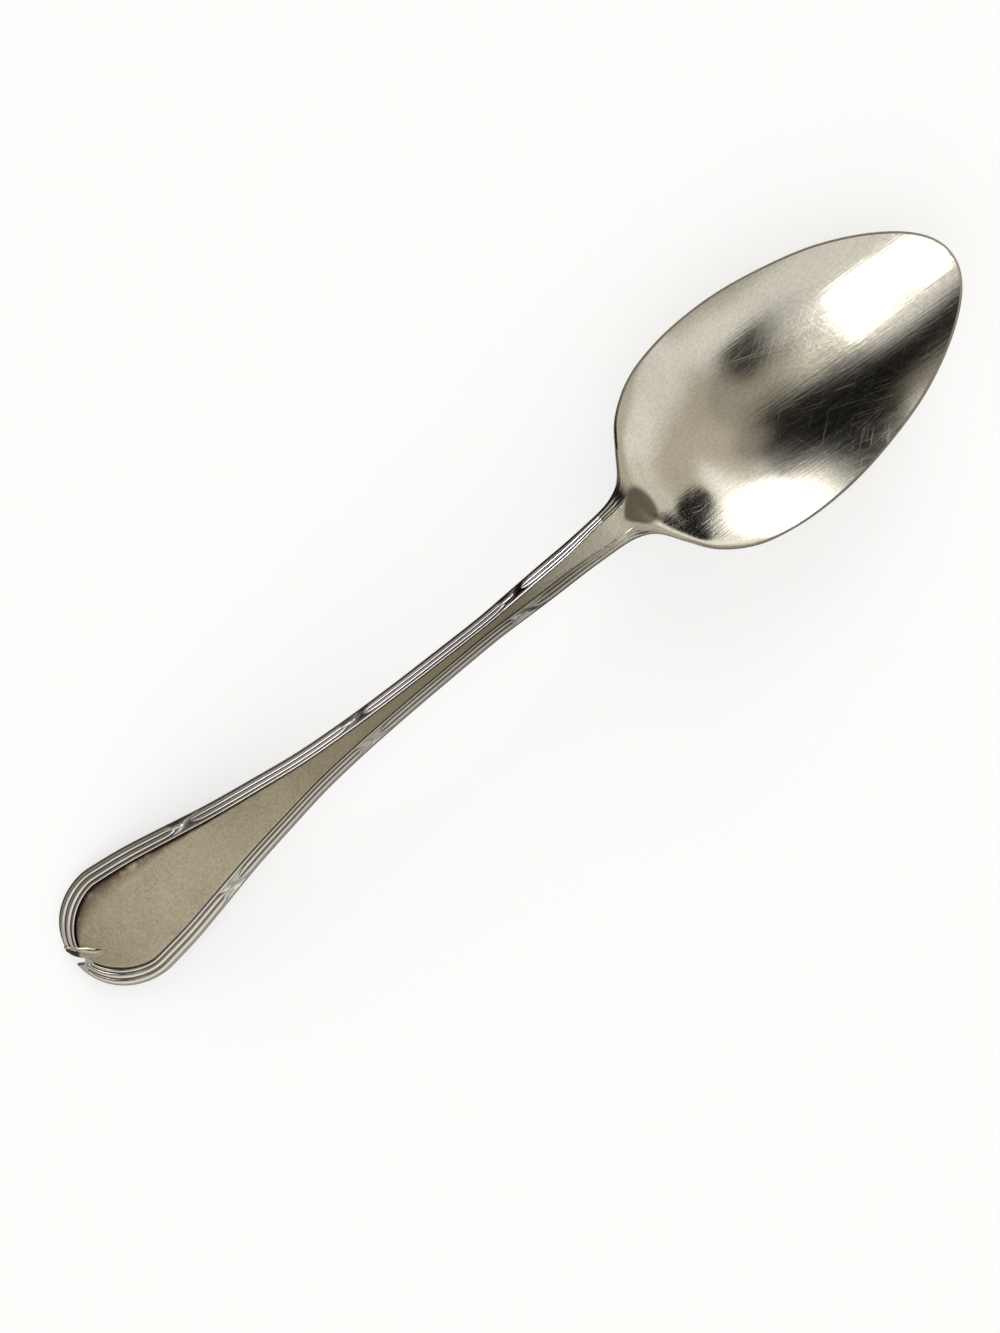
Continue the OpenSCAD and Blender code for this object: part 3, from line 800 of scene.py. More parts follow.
def knot_ribbon():
    """The ribbon's end that lies over the border and runs out to a point on the panel.

    It is ruled between its two edges, each a smooth curve through listed points. Its height over the
    metal below is a bell-shaped fold near the upper edge plus a low flat, and falls away at both edges.
    """
    t = np.linspace(0, 1, KNOT_ROWS)
    upper, lower = (np.stack([table([[k, place[axis]] for k, place in edge], t) for axis in (0, 1)], 1)
                    for edge in (KNOT_UPPER, KNOT_LOWER))
    c = np.linspace(0, 1, KNOT_COLUMNS)[None, :, None]
    plan = mixed(lower[:, None, :], upper[:, None, :], c)
    c, t = c[..., 0], t[:, None]
    x_table, (top_table, _, _) = heights()
    base = np.interp(plan[..., 0], x_table, top_table)
    base -= BORDER_FALL * np.clip((END_X + TIP_BORDER - plan[..., 0]) / TIP_BORDER, 0, 1) ** FALL_POWER
    middle = FOLD_MIDDLE + FOLD_SWAY * np.sin(SWAY_TURN * t)
    fold = FOLD_HEIGHT * np.exp(-(((c - middle) / FOLD_WIDTH) ** 2))
    fold = fold * (0.55 + 0.45 * np.cos(SWAY_TURN * 1.4 * t) ** 2) * mixed(1.35, 1, eased_step(t / 0.4))
    flat = FLAT_HEIGHT * np.clip(4 * c * (1 - c), 0, 1) ** 0.35
    fade = eased_step((FOLD_TO - t) / FOLD_FADE)
    rise = (fold * fade + flat * np.clip(1 - t**4, 0, 1)) * np.clip(14 * (1 - c), 0, 1) ** 0.5 + KNOT_LIFT
    top = np.concatenate([plan, (base + rise)[..., None]], 2)
    under = np.concatenate([plan, (base - KNOT_SINK)[..., None]], 2)[:, ::-1]
    points = np.concatenate([top, under], 1)
    # The finishes take its first part, below the fold, and its lower edge for grooves, so that painted shade
    # lies there
    worn = -0.14 * eased_step((0.42 - t) / 0.15) * eased_step((0.66 - c) / 0.1) - 0.1 * (c < 0.05)
    worn = np.concatenate([worn, worn[:, ::-1]], 1)
    place = np.full_like(worn, KNOT_OUTWARD)
    block = (points, ring_normals(points), np.stack([worn, place, place], 2))
    walls = [KNOT_COLUMNS - 1, 2 * KNOT_COLUMNS - 1]
    return closed_piece("knot_ribbon", [(block, walls, True, (True, True))], finish_material("knot metal"),
                        [])


# Finishes

# Distance between the nodes of a layout
NODE_SPACING = 190


def add(tree, kind, place, **inputs):
    """A node of that kind, at a place in the layout, with the values or links of its inputs.

    A key such as i2 is the input of that number, one that starts with a line below is an option of the
    node itself, and any other is the input's own name.
    """
    node = tree.nodes.new(kind)
    node.location = (place[0] * NODE_SPACING, -place[1] * NODE_SPACING)
    for key, value in inputs.items():
        if key.startswith("_"):
            setattr(node, key[1:], value)
            continue
        index = int(key[1:]) if key[0] == "i" and key[1:].isdigit() else key.replace("_", " ")
        if isinstance(value, bpy.types.NodeSocket):
            tree.links.new(value, node.inputs[index])
        else:
            node.inputs[index].default_value = value
    return node


# Option of a ramp that starts and ends gently
SMOOTH = {"_interpolation_type": "SMOOTHSTEP"}


def ramp(tree, place, value, start, end, low=0.0, high=1.0, **options):
    """Runs from low to high as the value goes from start to end, and stays level past both."""
    return add(tree, "ShaderNodeMapRange", place, Value=value, i1=start, i2=end, i3=low, i4=high,
               **options).outputs[0]


def worked(tree, place, operation, *values):
    """The result of one step of arithmetic."""
    inputs = {f"i{k}": value for k, value in enumerate(values)}
    return add(tree, "ShaderNodeMath", place, _operation=operation, **inputs).outputs[0]


def laid_over(tree, place, amount, under, over):
    """One colour laid over another by that amount."""
    return add(tree, "ShaderNodeMix", place, _data_type="RGBA", i0=amount, i6=under, i7=over).outputs[2]


def noise_of(tree, place, vector, scale, detail, **options):
    """Smooth noise from 0 to 1."""
    return add(tree, "ShaderNodeTexNoise", place, Vector=vector, Scale=scale, Detail=detail,
               **options).outputs[0]


def new_group(name, inputs, outputs):
    """A shader node group with named value sockets. An input is a name and its default."""
    tree = bpy.data.node_groups.new(name, "ShaderNodeTree")
    for label, default in inputs:
        socket = tree.interface.new_socket(name=label, in_out="INPUT", socket_type="NodeSocketFloat")
        socket.default_value = default
    for label in outputs:
        tree.interface.new_socket(name=label, in_out="OUTPUT", socket_type="NodeSocketFloat")
    return tree, tree.nodes.new("NodeGroupInput"), tree.nodes.new("NodeGroupOutput")


# Directions of the scratches in degrees and how strongly each shows, and the crests that are kept
SCRATCHES = ((-6, 0.8), (21, 1.0), (-38, 0.9), (74, 0.6))
SCRATCH_CREST = (0.71, 0.80)
# Direction of the streaks in degrees, and how finely they run along, across and through the metal
STREAK_TURN = 4
STREAK_SCALE = (105, 2400, 105)


def scratches_group():
    """Wear of a polished surface: thin scratches in four directions, of which only the crests of a
    stretched noise are kept, and soft streaks along the spoon."""
    name = "Fine scratches"
    if name in bpy.data.node_groups:
        return bpy.data.node_groups[name]
    tree, given, out = new_group(name, [("Length", 90.0), ("Fineness", 5000.0), ("Amount", 0.5)],
                                 ["Lines", "Streaks"])
    spot = add(tree, "ShaderNodeTexCoord", (0, 0)).outputs["Object"]
    scale = add(tree, "ShaderNodeCombineXYZ", (1, 6), X=given.outputs["Length"], Y=given.outputs["Fineness"],
                Z=given.outputs["Length"]).outputs[0]

    def stretched(k, degrees, shift, scale):
        """Places turned by that angle, shifted and stretched."""
        turned = add(tree, "ShaderNodeMapping", (1, k), Vector=spot, Rotation=(0, 0, math.radians(degrees)),
                     Location=shift).outputs[0]
        drawn = add(tree, "ShaderNodeVectorMath", (2, k), _operation="MULTIPLY", i0=turned, i1=scale)
        return drawn.outputs[0]

    total = None
    for k, (degrees, strength) in enumerate(SCRATCHES):
        noise = noise_of(tree, (3, k), stretched(k, degrees, (0.37 * k, 0.11 * k, 0), scale), 1.0, 0.0)
        crest = ramp(tree, (4, k), noise, *SCRATCH_CREST, 0.0, strength)
        total = crest if total is None else worked(tree, (5, k), "MAXIMUM", total, crest)
    lines = worked(tree, (6, 0), "MULTIPLY", total, given.outputs["Amount"])
    k = len(SCRATCHES)
    drawn_out = stretched(k, STREAK_TURN, (0, 0, 0), STREAK_SCALE)
    streaks = noise_of(tree, (3, k), drawn_out, 1.0, 3.0, Roughness=0.6)
    tree.links.new(lines, out.inputs["Lines"])
    tree.links.new(streaks, out.inputs["Streaks"])
    return tree


def patches_group():
    """Soft uneven patches, such as tarnish and handling marks: noise between two levels."""
    name = "Uneven patches"
    if name in bpy.data.node_groups:
        return bpy.data.node_groups[name]
    tree, given, out = new_group(name, [("Size", 60.0), ("From", 0.4), ("To", 0.7)], ["Mask"])
    spot = add(tree, "ShaderNodeTexCoord", (0, 0)).outputs["Object"]
    noise = noise_of(tree, (1, 0), spot, given.outputs["Size"], 6.0, Roughness=0.6)
    mask = ramp(tree, (2, 0), noise, given.outputs["From"], given.outputs["To"])
    tree.links.new(mask, out.inputs["Mask"])
    return tree


# Where dirt, tarnish and painted shade grow or fade along the spoon, from and to, in metres from its middle
RIGHT_LIGHTER = (0.0, 0.016)
STEM = (-0.045, -0.005)
NEAR_NECK = (0.021, 0.028)
BORDER_END = (0.0345, 0.0325)
TARNISH_END = (-0.035, -0.060)
TARNISH_WIDENS = (-0.060, -0.086)
# Places across: 0 in the panel's middle, 1 beside the border, 2 at the outer edge, 3 on the side face
SIDES = (-0.5, 0.5)
PAST_GROOVE = (1.02, 1.2)
PANEL_EDGE = (1.09, 1.03)
BRINK = (1.84, 1.98)
SIDE_FACE = (1.985, 2.3)
# Relief in millimetres, from clean to dark: in the grooves, and on the low metal between the reeds at the
# wide end and on the stem. The dark on the low metal is painted shade.
GROOVE_DEPTHS = (-0.01, -0.11)
LOW_METAL_WIDE = (0.15, 0.06)
LOW_METAL_STEM = (0.19, 0.12)
# Shares of the darkening: on the right at the neck, on the low metal before the neck, and on the left brink.
# On the low metal and the brink it is painted shade, and the right is lighter than the left as painted shade.
RIGHT_NECK_DARKENING = 0.12
LOW_METAL_SHADE = 0.7
BRINK_SHADE = 0.8
# The tarnish starts at these places across the panel, before and after it has widened, and is full
# beside the border. Then the scale of its clouds, and the levels of the noise that part them.
TARNISH_STARTS = (0.95, 0.60)
TARNISH_FULL = 0.97
CLOUD_SIZE = 330.0
CLOUD_LEVELS = (0.28, 0.47)
# The neck's painted dark reflection in metres: its point and its broad end, half widths there, how far it
# lies to the right, and the height over which it starts, so that the underside has none
NECK_REFLECTION_ALONG = (0.0302, 0.0366)
NECK_REFLECTION_HALF_WIDTHS = (0.0014, 0.0047)
NECK_REFLECTION_SHIFT = 0.0002
NECK_REFLECTION_HEIGHT = (0.0093, 0.0098)
# Its soft edge as a share of its size, and how dark it is
NECK_REFLECTION_EDGE = (1.12, 0.78)
NECK_REFLECTION_DARKNESS = 0.86


def darkening_group():
    """Dirt, tarnish and painted shade: dirt in the grooves; painted shade low between the reeds, on the outer
    edge and on the left brink, with the left darker than the right as painted shade; tarnish in patches along
    the panel's left border near the handle's end; and a painted dark reflection at the neck."""
    name = "Settled dirt"
    if name in bpy.data.node_groups:
        return bpy.data.node_groups[name]
    tree, given, out = new_group(name, [("Edge", 0.6), ("Right share", 0.4)],
                                 ["Grooves", "Edge", "Tarnish", "Neck painted reflection"])
    relief, across, outward = (add(tree, "ShaderNodeAttribute", (0, k), _attribute_name=label).outputs["Fac"]
                               for k, label in enumerate(ATTRIBUTES))
    spot = add(tree, "ShaderNodeTexCoord", (0, 3)).outputs["Object"]
    place = add(tree, "ShaderNodeSeparateXYZ", (1, 3), Vector=spot)
    along = place.outputs["X"]

    # Dirt in the grooves, and painted shade on the low metal between the reeds; both are darker on the left
    # as painted shade
    right = ramp(tree, (2, 1), along, *RIGHT_LIGHTER, given.outputs["Right share"], RIGHT_NECK_DARKENING)
    side = ramp(tree, (1, 1), across, *SIDES, right)
    grooves = worked(tree, (2, 0), "MULTIPLY", ramp(tree, (1, 0), relief, *GROOVE_DEPTHS), side)
    higher, lower = (ramp(tree, (0, 9 + k), along, *STEM, LOW_METAL_WIDE[k], LOW_METAL_STEM[k])
                     for k in (0, 1))
    past = ramp(tree, (2, 10), along, *BORDER_END)
    low = worked(tree, (3, 9), "MULTIPLY", ramp(tree, (1, 9), relief, higher, lower),
                 ramp(tree, (2, 9), along, *NEAR_NECK, LOW_METAL_SHADE))
    outer = worked(tree, (3, 10), "MULTIPLY", ramp(tree, (1, 10), outward, *PAST_GROOVE, 0.0, side), past)
    low = worked(tree, (4, 9), "MULTIPLY", low, outer)
    grooves = worked(tree, (5, 9), "MAXIMUM", grooves, low)

    # Painted shade on the side face, and on the left border's brink above it
    rim = ramp(tree, (2, 2), outward, *SIDE_FACE, 0.0, given.outputs["Edge"])
    brink = worked(tree, (3, 11), "MULTIPLY", ramp(tree, (2, 11), across, *BRINK, 0.0, BRINK_SHADE), past)
    rim = worked(tree, (4, 2), "MAXIMUM", rim, brink)

    # Clouded tarnish on the panel, wider towards the handle's end
    begins = ramp(tree, (2, 3), along, *TARNISH_WIDENS, *TARNISH_STARTS)
    cloud = noise_of(tree, (2, 4), spot, CLOUD_SIZE, 4.0, Roughness=0.6)
    tarnish = worked(tree, (4, 3), "MULTIPLY", ramp(tree, (3, 3), across, begins, TARNISH_FULL),
                     ramp(tree, (3, 4), cloud, *CLOUD_LEVELS))
    inside = worked(tree, (4, 5), "MULTIPLY", ramp(tree, (3, 5), across, *PANEL_EDGE),
                    ramp(tree, (3, 6), along, *TARNISH_END))
    tarnish = worked(tree, (5, 3), "MULTIPLY", tarnish, inside)

    # The painted dark reflection at the neck is a rounded triangle: its width grows from its point
    # towards the bowl
    ahead = ramp(tree, (2, 7), along, *NECK_REFLECTION_ALONG, -1.0, 1.0, _clamp=False)
    width = ramp(tree, (3, 7), ahead, -1.0, 0.6, *NECK_REFLECTION_HALF_WIDTHS)
    aside = worked(tree, (4, 8), "DIVIDE", worked(tree, (3, 8), "ADD", place.outputs["Y"], NECK_REFLECTION_SHIFT), width)
    far = add(tree, "ShaderNodeCombineXYZ", (5, 7), X=ahead, Y=aside).outputs[0]
    far = add(tree, "ShaderNodeVectorMath", (6, 7), _operation="LENGTH", i0=far).outputs["Value"]
    mark = ramp(tree, (7, 7), far, *NECK_REFLECTION_EDGE, 0.0, NECK_REFLECTION_DARKNESS, **SMOOTH)
    mark = worked(tree, (8, 7), "MULTIPLY", mark, ramp(tree, (6, 8), place.outputs["Z"], *NECK_REFLECTION_HEIGHT))

    for label, mask in (("Grooves", grooves), ("Edge", rim), ("Tarnish", tarnish), ("Neck painted reflection", mark)):
        tree.links.new(mask, out.inputs[label])
    return tree


# Where the colour changes along the spoon, in metres: the panel darkens on the stem, and all metal takes
# on the neck's colour
STEM_DARKENS = (-0.055, -0.018)
NECK_STARTS = ((NECK_X - 24) * MM, (NECK_X - 4) * MM)
# How strong the soft patches are on the bowl and neck, their colour as a share of the metal's, and how
# much the small ones count beside the large ones
BOWL_MOTTLING = 0.20
DARK_SHARE = 0.55
SMALL_PATCH_SHARE = 1.2
# What the streaks and the scratches add to the bumps' height and to the dullness
STREAK_HEIGHT = 14.0
LINE_HEIGHT = 0.9
STREAK_DULLNESS = 0.10
LINE_DULLNESS = 0.12


def metal(name, colour, roughness, wear, mottling, grain, stem_dark, neck_colour):
    """Worn polished metal.

    Its colour is darker along the stem by the share stem_dark and runs to the neck's towards the bowl. It
    is darkened in soft patches by the share mottling, by dirt in the grooves, by tarnish, by painted shade
    and by a painted dark reflection at the neck. Streaks and scratches roughen it and catch the light by the
    share wear, and grain adds the small patches to its bumps.
    """
    made = bpy.data.materials.new(name)
    made.use_nodes = True
    tree = made.node_tree
    tree.nodes.clear()
    finish = bpy.context.scene.spoon_finish
    large = add(tree, "ShaderNodeGroup", (0, 0), _node_tree=patches_group(), Size=70.0, From=0.42, To=0.72)
    small = add(tree, "ShaderNodeGroup", (0, 1), _node_tree=patches_group(), Size=1900.0, From=0.4, To=0.64)
    marks = add(tree, "ShaderNodeGroup", (0, 2), _node_tree=scratches_group(), Length=130.0, Fineness=11000.0,
                Amount=1.0)
    # Edge is the strength of the painted shade on the side face, and Right share is the share of the grooves'
    # and low metal's darkening on the right, which is lighter as painted shade
    dirt = add(tree, "ShaderNodeGroup", (0, 3), _node_tree=darkening_group(), Edge=0.75, Right_share=0.42)
    lines, streaks = marks.outputs["Lines"], marks.outputs["Streaks"]
    spot = add(tree, "ShaderNodeTexCoord", (0, 4)).outputs["Object"]
    along = add(tree, "ShaderNodeSeparateXYZ", (1, 4), Vector=spot).outputs["X"]
    near_bowl = ramp(tree, (2, 4), along, *NECK_STARTS, **SMOOTH)

    # Colour
    dark = (*(DARK_SHARE * part for part in colour), 1)
    tint = laid_over(tree, (3, 3), ramp(tree, (2, 5), along, *STEM_DARKENS, 0.0, stem_dark, **SMOOTH),
                     (*colour, 1), dark)
    tint = laid_over(tree, (3, 4), near_bowl, tint, (*neck_colour, 1))
    mottle = worked(tree, (1, 0), "MULTIPLY_ADD", small.outputs[0], SMALL_PATCH_SHARE, large.outputs[0])
    mottle = worked(tree, (2, 0), "MULTIPLY", mottle,
                    ramp(tree, (3, 5), near_bowl, 0.0, 1.0, mottling, BOWL_MOTTLING))
    tint = laid_over(tree, (4, 0), mottle, tint, dark)
    # Dirt in the grooves, and painted shade on the side face, the low metal, the left brink and the knot, all
    # in one colour
    dirt_and_shade = worked(tree, (4, 3), "MAXIMUM", dirt.outputs["Grooves"], dirt.outputs["Edge"])
    for k, (mask, stain) in enumerate(((dirt.outputs["Tarnish"], finish.stain_colour),
                                       (dirt.outputs["Neck painted reflection"], finish.neck_painted_reflection_colour),
                                       (dirt_and_shade, finish.groove_dirt_and_shade_colour))):
        tint = laid_over(tree, (5, k), mask, tint, (*stain, 1))

    # Dullness, and the bumps that catch the light
    base = 0.5 * STREAK_DULLNESS * wear
    rough = ramp(tree, (3, 6), near_bowl, 0.0, 1.0, roughness - base, finish.bowl_roughness - base)
    rough = worked(tree, (2, 1), "MULTIPLY_ADD", streaks, STREAK_DULLNESS * wear, rough)
    rough = worked(tree, (3, 1), "MULTIPLY_ADD", lines, LINE_DULLNESS * wear, rough)
    height = worked(tree, (1, 3), "MULTIPLY", lines, LINE_HEIGHT)
    height = worked(tree, (2, 2), "MULTIPLY_ADD", streaks, STREAK_HEIGHT, height)
    height = worked(tree, (2, 3), "MULTIPLY_ADD", small.outputs[0], grain, height)
    bump = add(tree, "ShaderNodeBump", (3, 2), Height=height, Strength=1.0,
               Distance=finish.scratch_depth * wear)
    shader = add(tree, "ShaderNodeBsdfPrincipled", (7, 0), Base_Color=tint, Metallic=1.0, Roughness=rough,
                 Normal=bump.outputs[0])
    out = add(tree, "ShaderNodeOutputMaterial", (8, 0))
    tree.links.new(shader.outputs[0], out.inputs["Surface"])
    return made


def finish_material(kind):
    """The named finish, made once."""
    if kind in bpy.data.materials:
        return bpy.data.materials[kind]
    f = bpy.context.scene.spoon_finish
    leaf_colour = tuple(0.25 * reed + 0.65 * panel for reed, panel in zip(f.reed_colour, f.panel_colour))
    reed = (f.reed_colour, f.reed_roughness, 0.0, 0.12, 0.0, 0.0)
    sorts = {"bowl metal": (f.bowl_colour, f.bowl_roughness, 1.0, BOWL_MOTTLING, 0.0, 0.0),
             "panel metal": (f.panel_colour, f.panel_roughness, 0.8, 0.42, 4.0, 0.75),
             "reed metal": reed,
             "ribbon metal": reed,
             "knot metal": (leaf_colour, f.reed_roughness + 0.06, 0.3, 0.30, 1.0, 0.0)}
    return metal(kind, *sorts[kind], f.neck_colour)


# Settings

def size(name, description, millimetres):
    """A length, shown in the scene's units."""
    return FloatProperty(name=name, description=description, default=millimetres * MM, min=0.0,
                         subtype="DISTANCE", unit="LENGTH", precision=5)


def colour(name, description, value):
    """A colour."""
    return FloatVectorProperty(name=name, description=description, default=value, min=0.0, max=1.0,
                               subtype="COLOR", size=3)


def share(name, description, value, top=1.0):
    """A plain number."""
    return FloatProperty(name=name, description=description, default=value, min=0.0, max=top)


class SpoonForm(bpy.types.PropertyGroup):
    """Sizes of the spoon's form."""
    bowl_depth: size("Bowl depth", "Depth of the hollow below the rim", 7.7)
    floor_thickness: size("Floor thickness", "Thickness of the bowl's floor", 1.8)
    rim_thickness: size("Rim thickness", "Height of the bowl's edge", 1.45)
    rim_flat: size("Rim flat", "Width of the narrow flat along the bowl's edge", 0.3)
    reed_height: size("Reed height", "Rise of a reed over the grooves beside it", 0.36)
    groove_depth: size("Groove depth", "Depth of the groove between panel and border", 0.3)
    notch_depth: size("Notch depth", "Depth of the notch beside the knot", 2.12)


class SpoonFinish(bpy.types.PropertyGroup):
    """Colours and polish of the metal."""
    bowl_colour: colour("Bowl", "Colour of the bowl's metal", (0.430, 0.388, 0.315))
    neck_colour: colour("Neck", "Colour of the metal towards the bowl", (0.535, 0.508, 0.437))
    panel_colour: colour("Panel", "Colour of the handle's panel", (0.312, 0.276, 0.190))
    reed_colour: colour("Reeds", "Colour of the border's metal", (0.385, 0.362, 0.318))
    stain_colour: colour("Tarnish", "Colour of the tarnished patches", (0.075, 0.042, 0.031))
    # Colour of the painted dark reflection at the neck
    neck_painted_reflection_colour: colour("Neck painted reflection", "Colour of the smoky mark at the neck", (0.075, 0.064, 0.046))
    # The grooves' colour is also that of the painted shade on the side face, the low metal, the left brink
    # and the knot
    groove_dirt_and_shade_colour: colour("Grooves", "Colour of the darkened grooves", (0.030, 0.025, 0.026))
    bowl_roughness: share("Bowl roughness", "How far the bowl's polish has gone dull", 0.125)
    panel_roughness: share("Panel roughness", "How far the panel's polish has gone dull", 0.33)
    reed_roughness: share("Reed roughness", "How far the border's polish has gone dull", 0.17)
    scratch_depth: FloatProperty(name="Scratch depth", description="Depth of the fine scratches",
                                 default=1.3e-6, min=0.0, max=1e-4, subtype="DISTANCE", unit="LENGTH",
                                 precision=7)


class SpoonStage(bpy.types.PropertyGroup):
    """Floor, light and camera."""
    floor_colour: colour("Floor", "Colour of the pale floor", (0.95, 0.95, 0.94))
    floor_shown: colour("Floor as seen", "Colour that the camera sees where no shadow lies", (1.0, 1.0, 1.0))
    floor_plain: share("Floor evenness", "Share of the floor that the camera sees without light and shadow",
                       0.60)
    sky_level: share("Sky level", "Level of the soft light all round", 1.90, 4.0)
    bowl_lamp_level: share("Bowl lamp level", "Level of the long lamp over the bowl", 5.5, 20.0)
    border_lamp_level: share("Border lamp level", "Level of the lamp beside the handle", 4.9, 20.0)
    panel_lamp_level: share("Panel lamp level", "Level of the soft lamp over the panel's neck end",
                            0.30, 20.0)
    lens: FloatProperty(name="Lens", description="Focal length for a picture 36 mm high", default=27.0,
                        min=10.0, max=200.0)


# Pieces

class SPOON_OT_bowl(bpy.types.Operator):
    """Makes the bowl and the neck"""
    bl_idname = "spoon.bowl"
    bl_label = "Bowl and neck"

    def execute(self, context):
        skin = spoon_skin()
        starts = skin["starts"]
        columns = np.arange(COLUMNS)
        for name, first, last, caps in (("neck", starts[-3], starts[-2], (True, True)),
                                        ("bowl", starts[-2], starts[-1], (True, False))):
            block = whole_rings(skin, (first, last + 1), columns, columns[1:-1])
            closed_piece(name + "_shell", [(block, [], True, caps)], finish_material("bowl metal"),
                         [name])
        return {"FINISHED"}


class SPOON_OT_panel(bpy.types.Operator):
    """Makes the plain panel of the handle"""
    bl_idname = "spoon.panel"
    bl_label = "Panel"

    def execute(self, context):
        skin = spoon_skin()
        columns = np.concatenate([np.arange(INNER_TOP + 1), np.arange(INNER_UNDER, COLUMNS)])
        block = whole_rings(skin, (0, skin["starts"][-3] + 1), columns, columns[1:-1])
        # The walls to the border: on the left after the top's last column, and its mirror on the right
        walls = [INNER_TOP, 2 * len(columns) - 3 - INNER_TOP]
        closed_piece("handle_face", [(block, walls, True, (False, True))], finish_material("panel metal"),
                     ["handle_panel"])
        return {"FINISHED"}


class SPOON_OT_border(bpy.types.Operator):
    """Makes the reeds and ribbons of both sides"""
    bl_idname = "spoon.border"
    bl_label = "Reeds and ribbons"

    def execute(self, context):
        skin = spoon_skin()
        starts = skin["starts"]
        stretches = ["reeds_end", "ribbon_end", "reeds_blade", "ribbon_middle", "reeds_stem", "ribbon_neck",
                     "reeds_neck"]
        for side_name, side in (("left", 1), ("right", -1)):
            for k, stretch in enumerate(stretches):
                kind = "ribbon" if "ribbon" in stretch else "reed"
                block = border_block(skin, side, starts[k + 1], starts[k + 2], (True, True))
                closed_piece(f"{stretch}_{side_name}", [block], finish_material(kind + " metal"),
                             [f"{side_name}_{stretch}"])
        return {"FINISHED"}


class SPOON_OT_knot(bpy.types.Operator):
    """Makes the knot at the handle's end"""
    bl_idname = "spoon.knot"
    bl_label = "Knot"

    def execute(self, context):
        skin = spoon_skin()
        blocks = [border_block(skin, side, 0, skin["starts"][1], (False, True)) for side in (1, -1)]
        closed_piece("tip_knot_ground", blocks, finish_material("ribbon metal"), ["tip_knot"])
        knot_ribbon()
        return {"FINISHED"}


# Stage

# The camera's place in millimetres, the direction to its right and the one in which it looks. The values
# are rounded from a least-squares fit to outline points that were read off the photo.
CAMERA_PLACE = (7.85, 2.43, 187.55)
CAMERA_RIGHT = (0.77732, -0.62894, -0.01453)
CAMERA_SIGHT = (-0.05971, -0.05076, -0.99692)
PICTURE_HEIGHT = 36.0
# The floor in metres: half its width, and how far it lies under the spoon's resting places
FLOOR_HALF = 1.5
FLOOR_DROP = 0.00003
FLOOR_POINTS = 3


def add_camera(stage):
    """The camera, at the photograph's own place over the spoon."""
    data = bpy.data.cameras.new("View from above")
    data.sensor_fit = "VERTICAL"
    data.sensor_height = PICTURE_HEIGHT
    data.lens = stage.lens
    data.clip_start = 0.01
    camera = bpy.data.objects.new("View from above", data)
    sight = np.array(CAMERA_SIGHT) / np.linalg.norm(CAMERA_SIGHT)
    right = np.array(CAMERA_RIGHT) - sight * np.dot(CAMERA_RIGHT, sight)
    right /= np.linalg.norm(right)
    turn = np.eye(4)
    turn[:3, 0], turn[:3, 1], turn[:3, 2] = right, np.cross(right, sight), -sight
    turn[:3, 3] = np.array(CAMERA_PLACE) * MM
    camera.matrix_world = Matrix(turn.tolist())
    bpy.context.scene.collection.objects.link(camera)
    bpy.context.scene.camera = camera


def shown_to_camera(tree, place, shown, light, share=None):
    """One shader for the light, and another, or a share of it, for what the camera sees directly."""
    amount = add(tree, "ShaderNodeLightPath", (place[0] - 2, place[1])).outputs["Is Camera Ray"]
    if share is not None:
        amount = worked(tree, (place[0] - 1, place[1]), "MULTIPLY", amount, share)
    return add(tree, "ShaderNodeMixShader", place, i0=amount, i1=light.outputs[0], i2=shown.outputs[0])


def add_floor(stage):
    """A wide pale floor: a flat grid just under the spoon's two resting places. The camera sees it partly
    by its light and shadow, and partly as a plain colour."""
    line = np.linspace(-FLOOR_HALF, FLOOR_HALF, FLOOR_POINTS)
    x, y = np.meshgrid(line, line, indexing="ij")
    points = np.stack([x, y, np.full_like(x, -FLOOR_DROP)], 2).reshape(-1, 3)
    steps = np.arange(FLOOR_POINTS - 1)
    a = (steps[:, None] * FLOOR_POINTS + steps[None, :]).ravel()
    quads = np.stack([a, a + FLOOR_POINTS, a + FLOOR_POINTS + 1, a + 1], 1)
    mesh = bpy.data.meshes.new("floor")
    mesh.from_pydata(points.tolist(), [], quads.tolist())
    floor = bpy.data.objects.new("floor", mesh)
    bpy.context.scene.collection.objects.link(floor)
    made = bpy.data.materials.new("pale cloth")
    made.use_nodes = True
    tree = made.node_tree
    tree.nodes.clear()
    cloth = add(tree, "ShaderNodeBsdfPrincipled", (1, 0), Base_Color=(*stage.floor_colour, 1), Roughness=0.9,
                Specular_IOR_Level=0.0)
    plain = add(tree, "ShaderNodeEmission", (1, 3), Color=(*stage.floor_shown, 1), Strength=1.0)
    both = shown_to_camera(tree, (2, 0), plain, cloth, stage.floor_plain)
    out = add(tree, "ShaderNodeOutputMaterial", (3, 0))
    tree.links.new(both.outputs[0], out.inputs["Surface"])
    mesh.materials.append(made)


# The world's own colour, the tints of its brighter and dimmer panels, and the level that parts the two
SKY_BASE = (0.64, 0.64, 0.63, 1)
SKY_BRIGHT = (1.0, 1.0, 0.99)
SKY_DIM = (1.04, 0.98, 0.85)
SKY_DIM_TO = 0.6
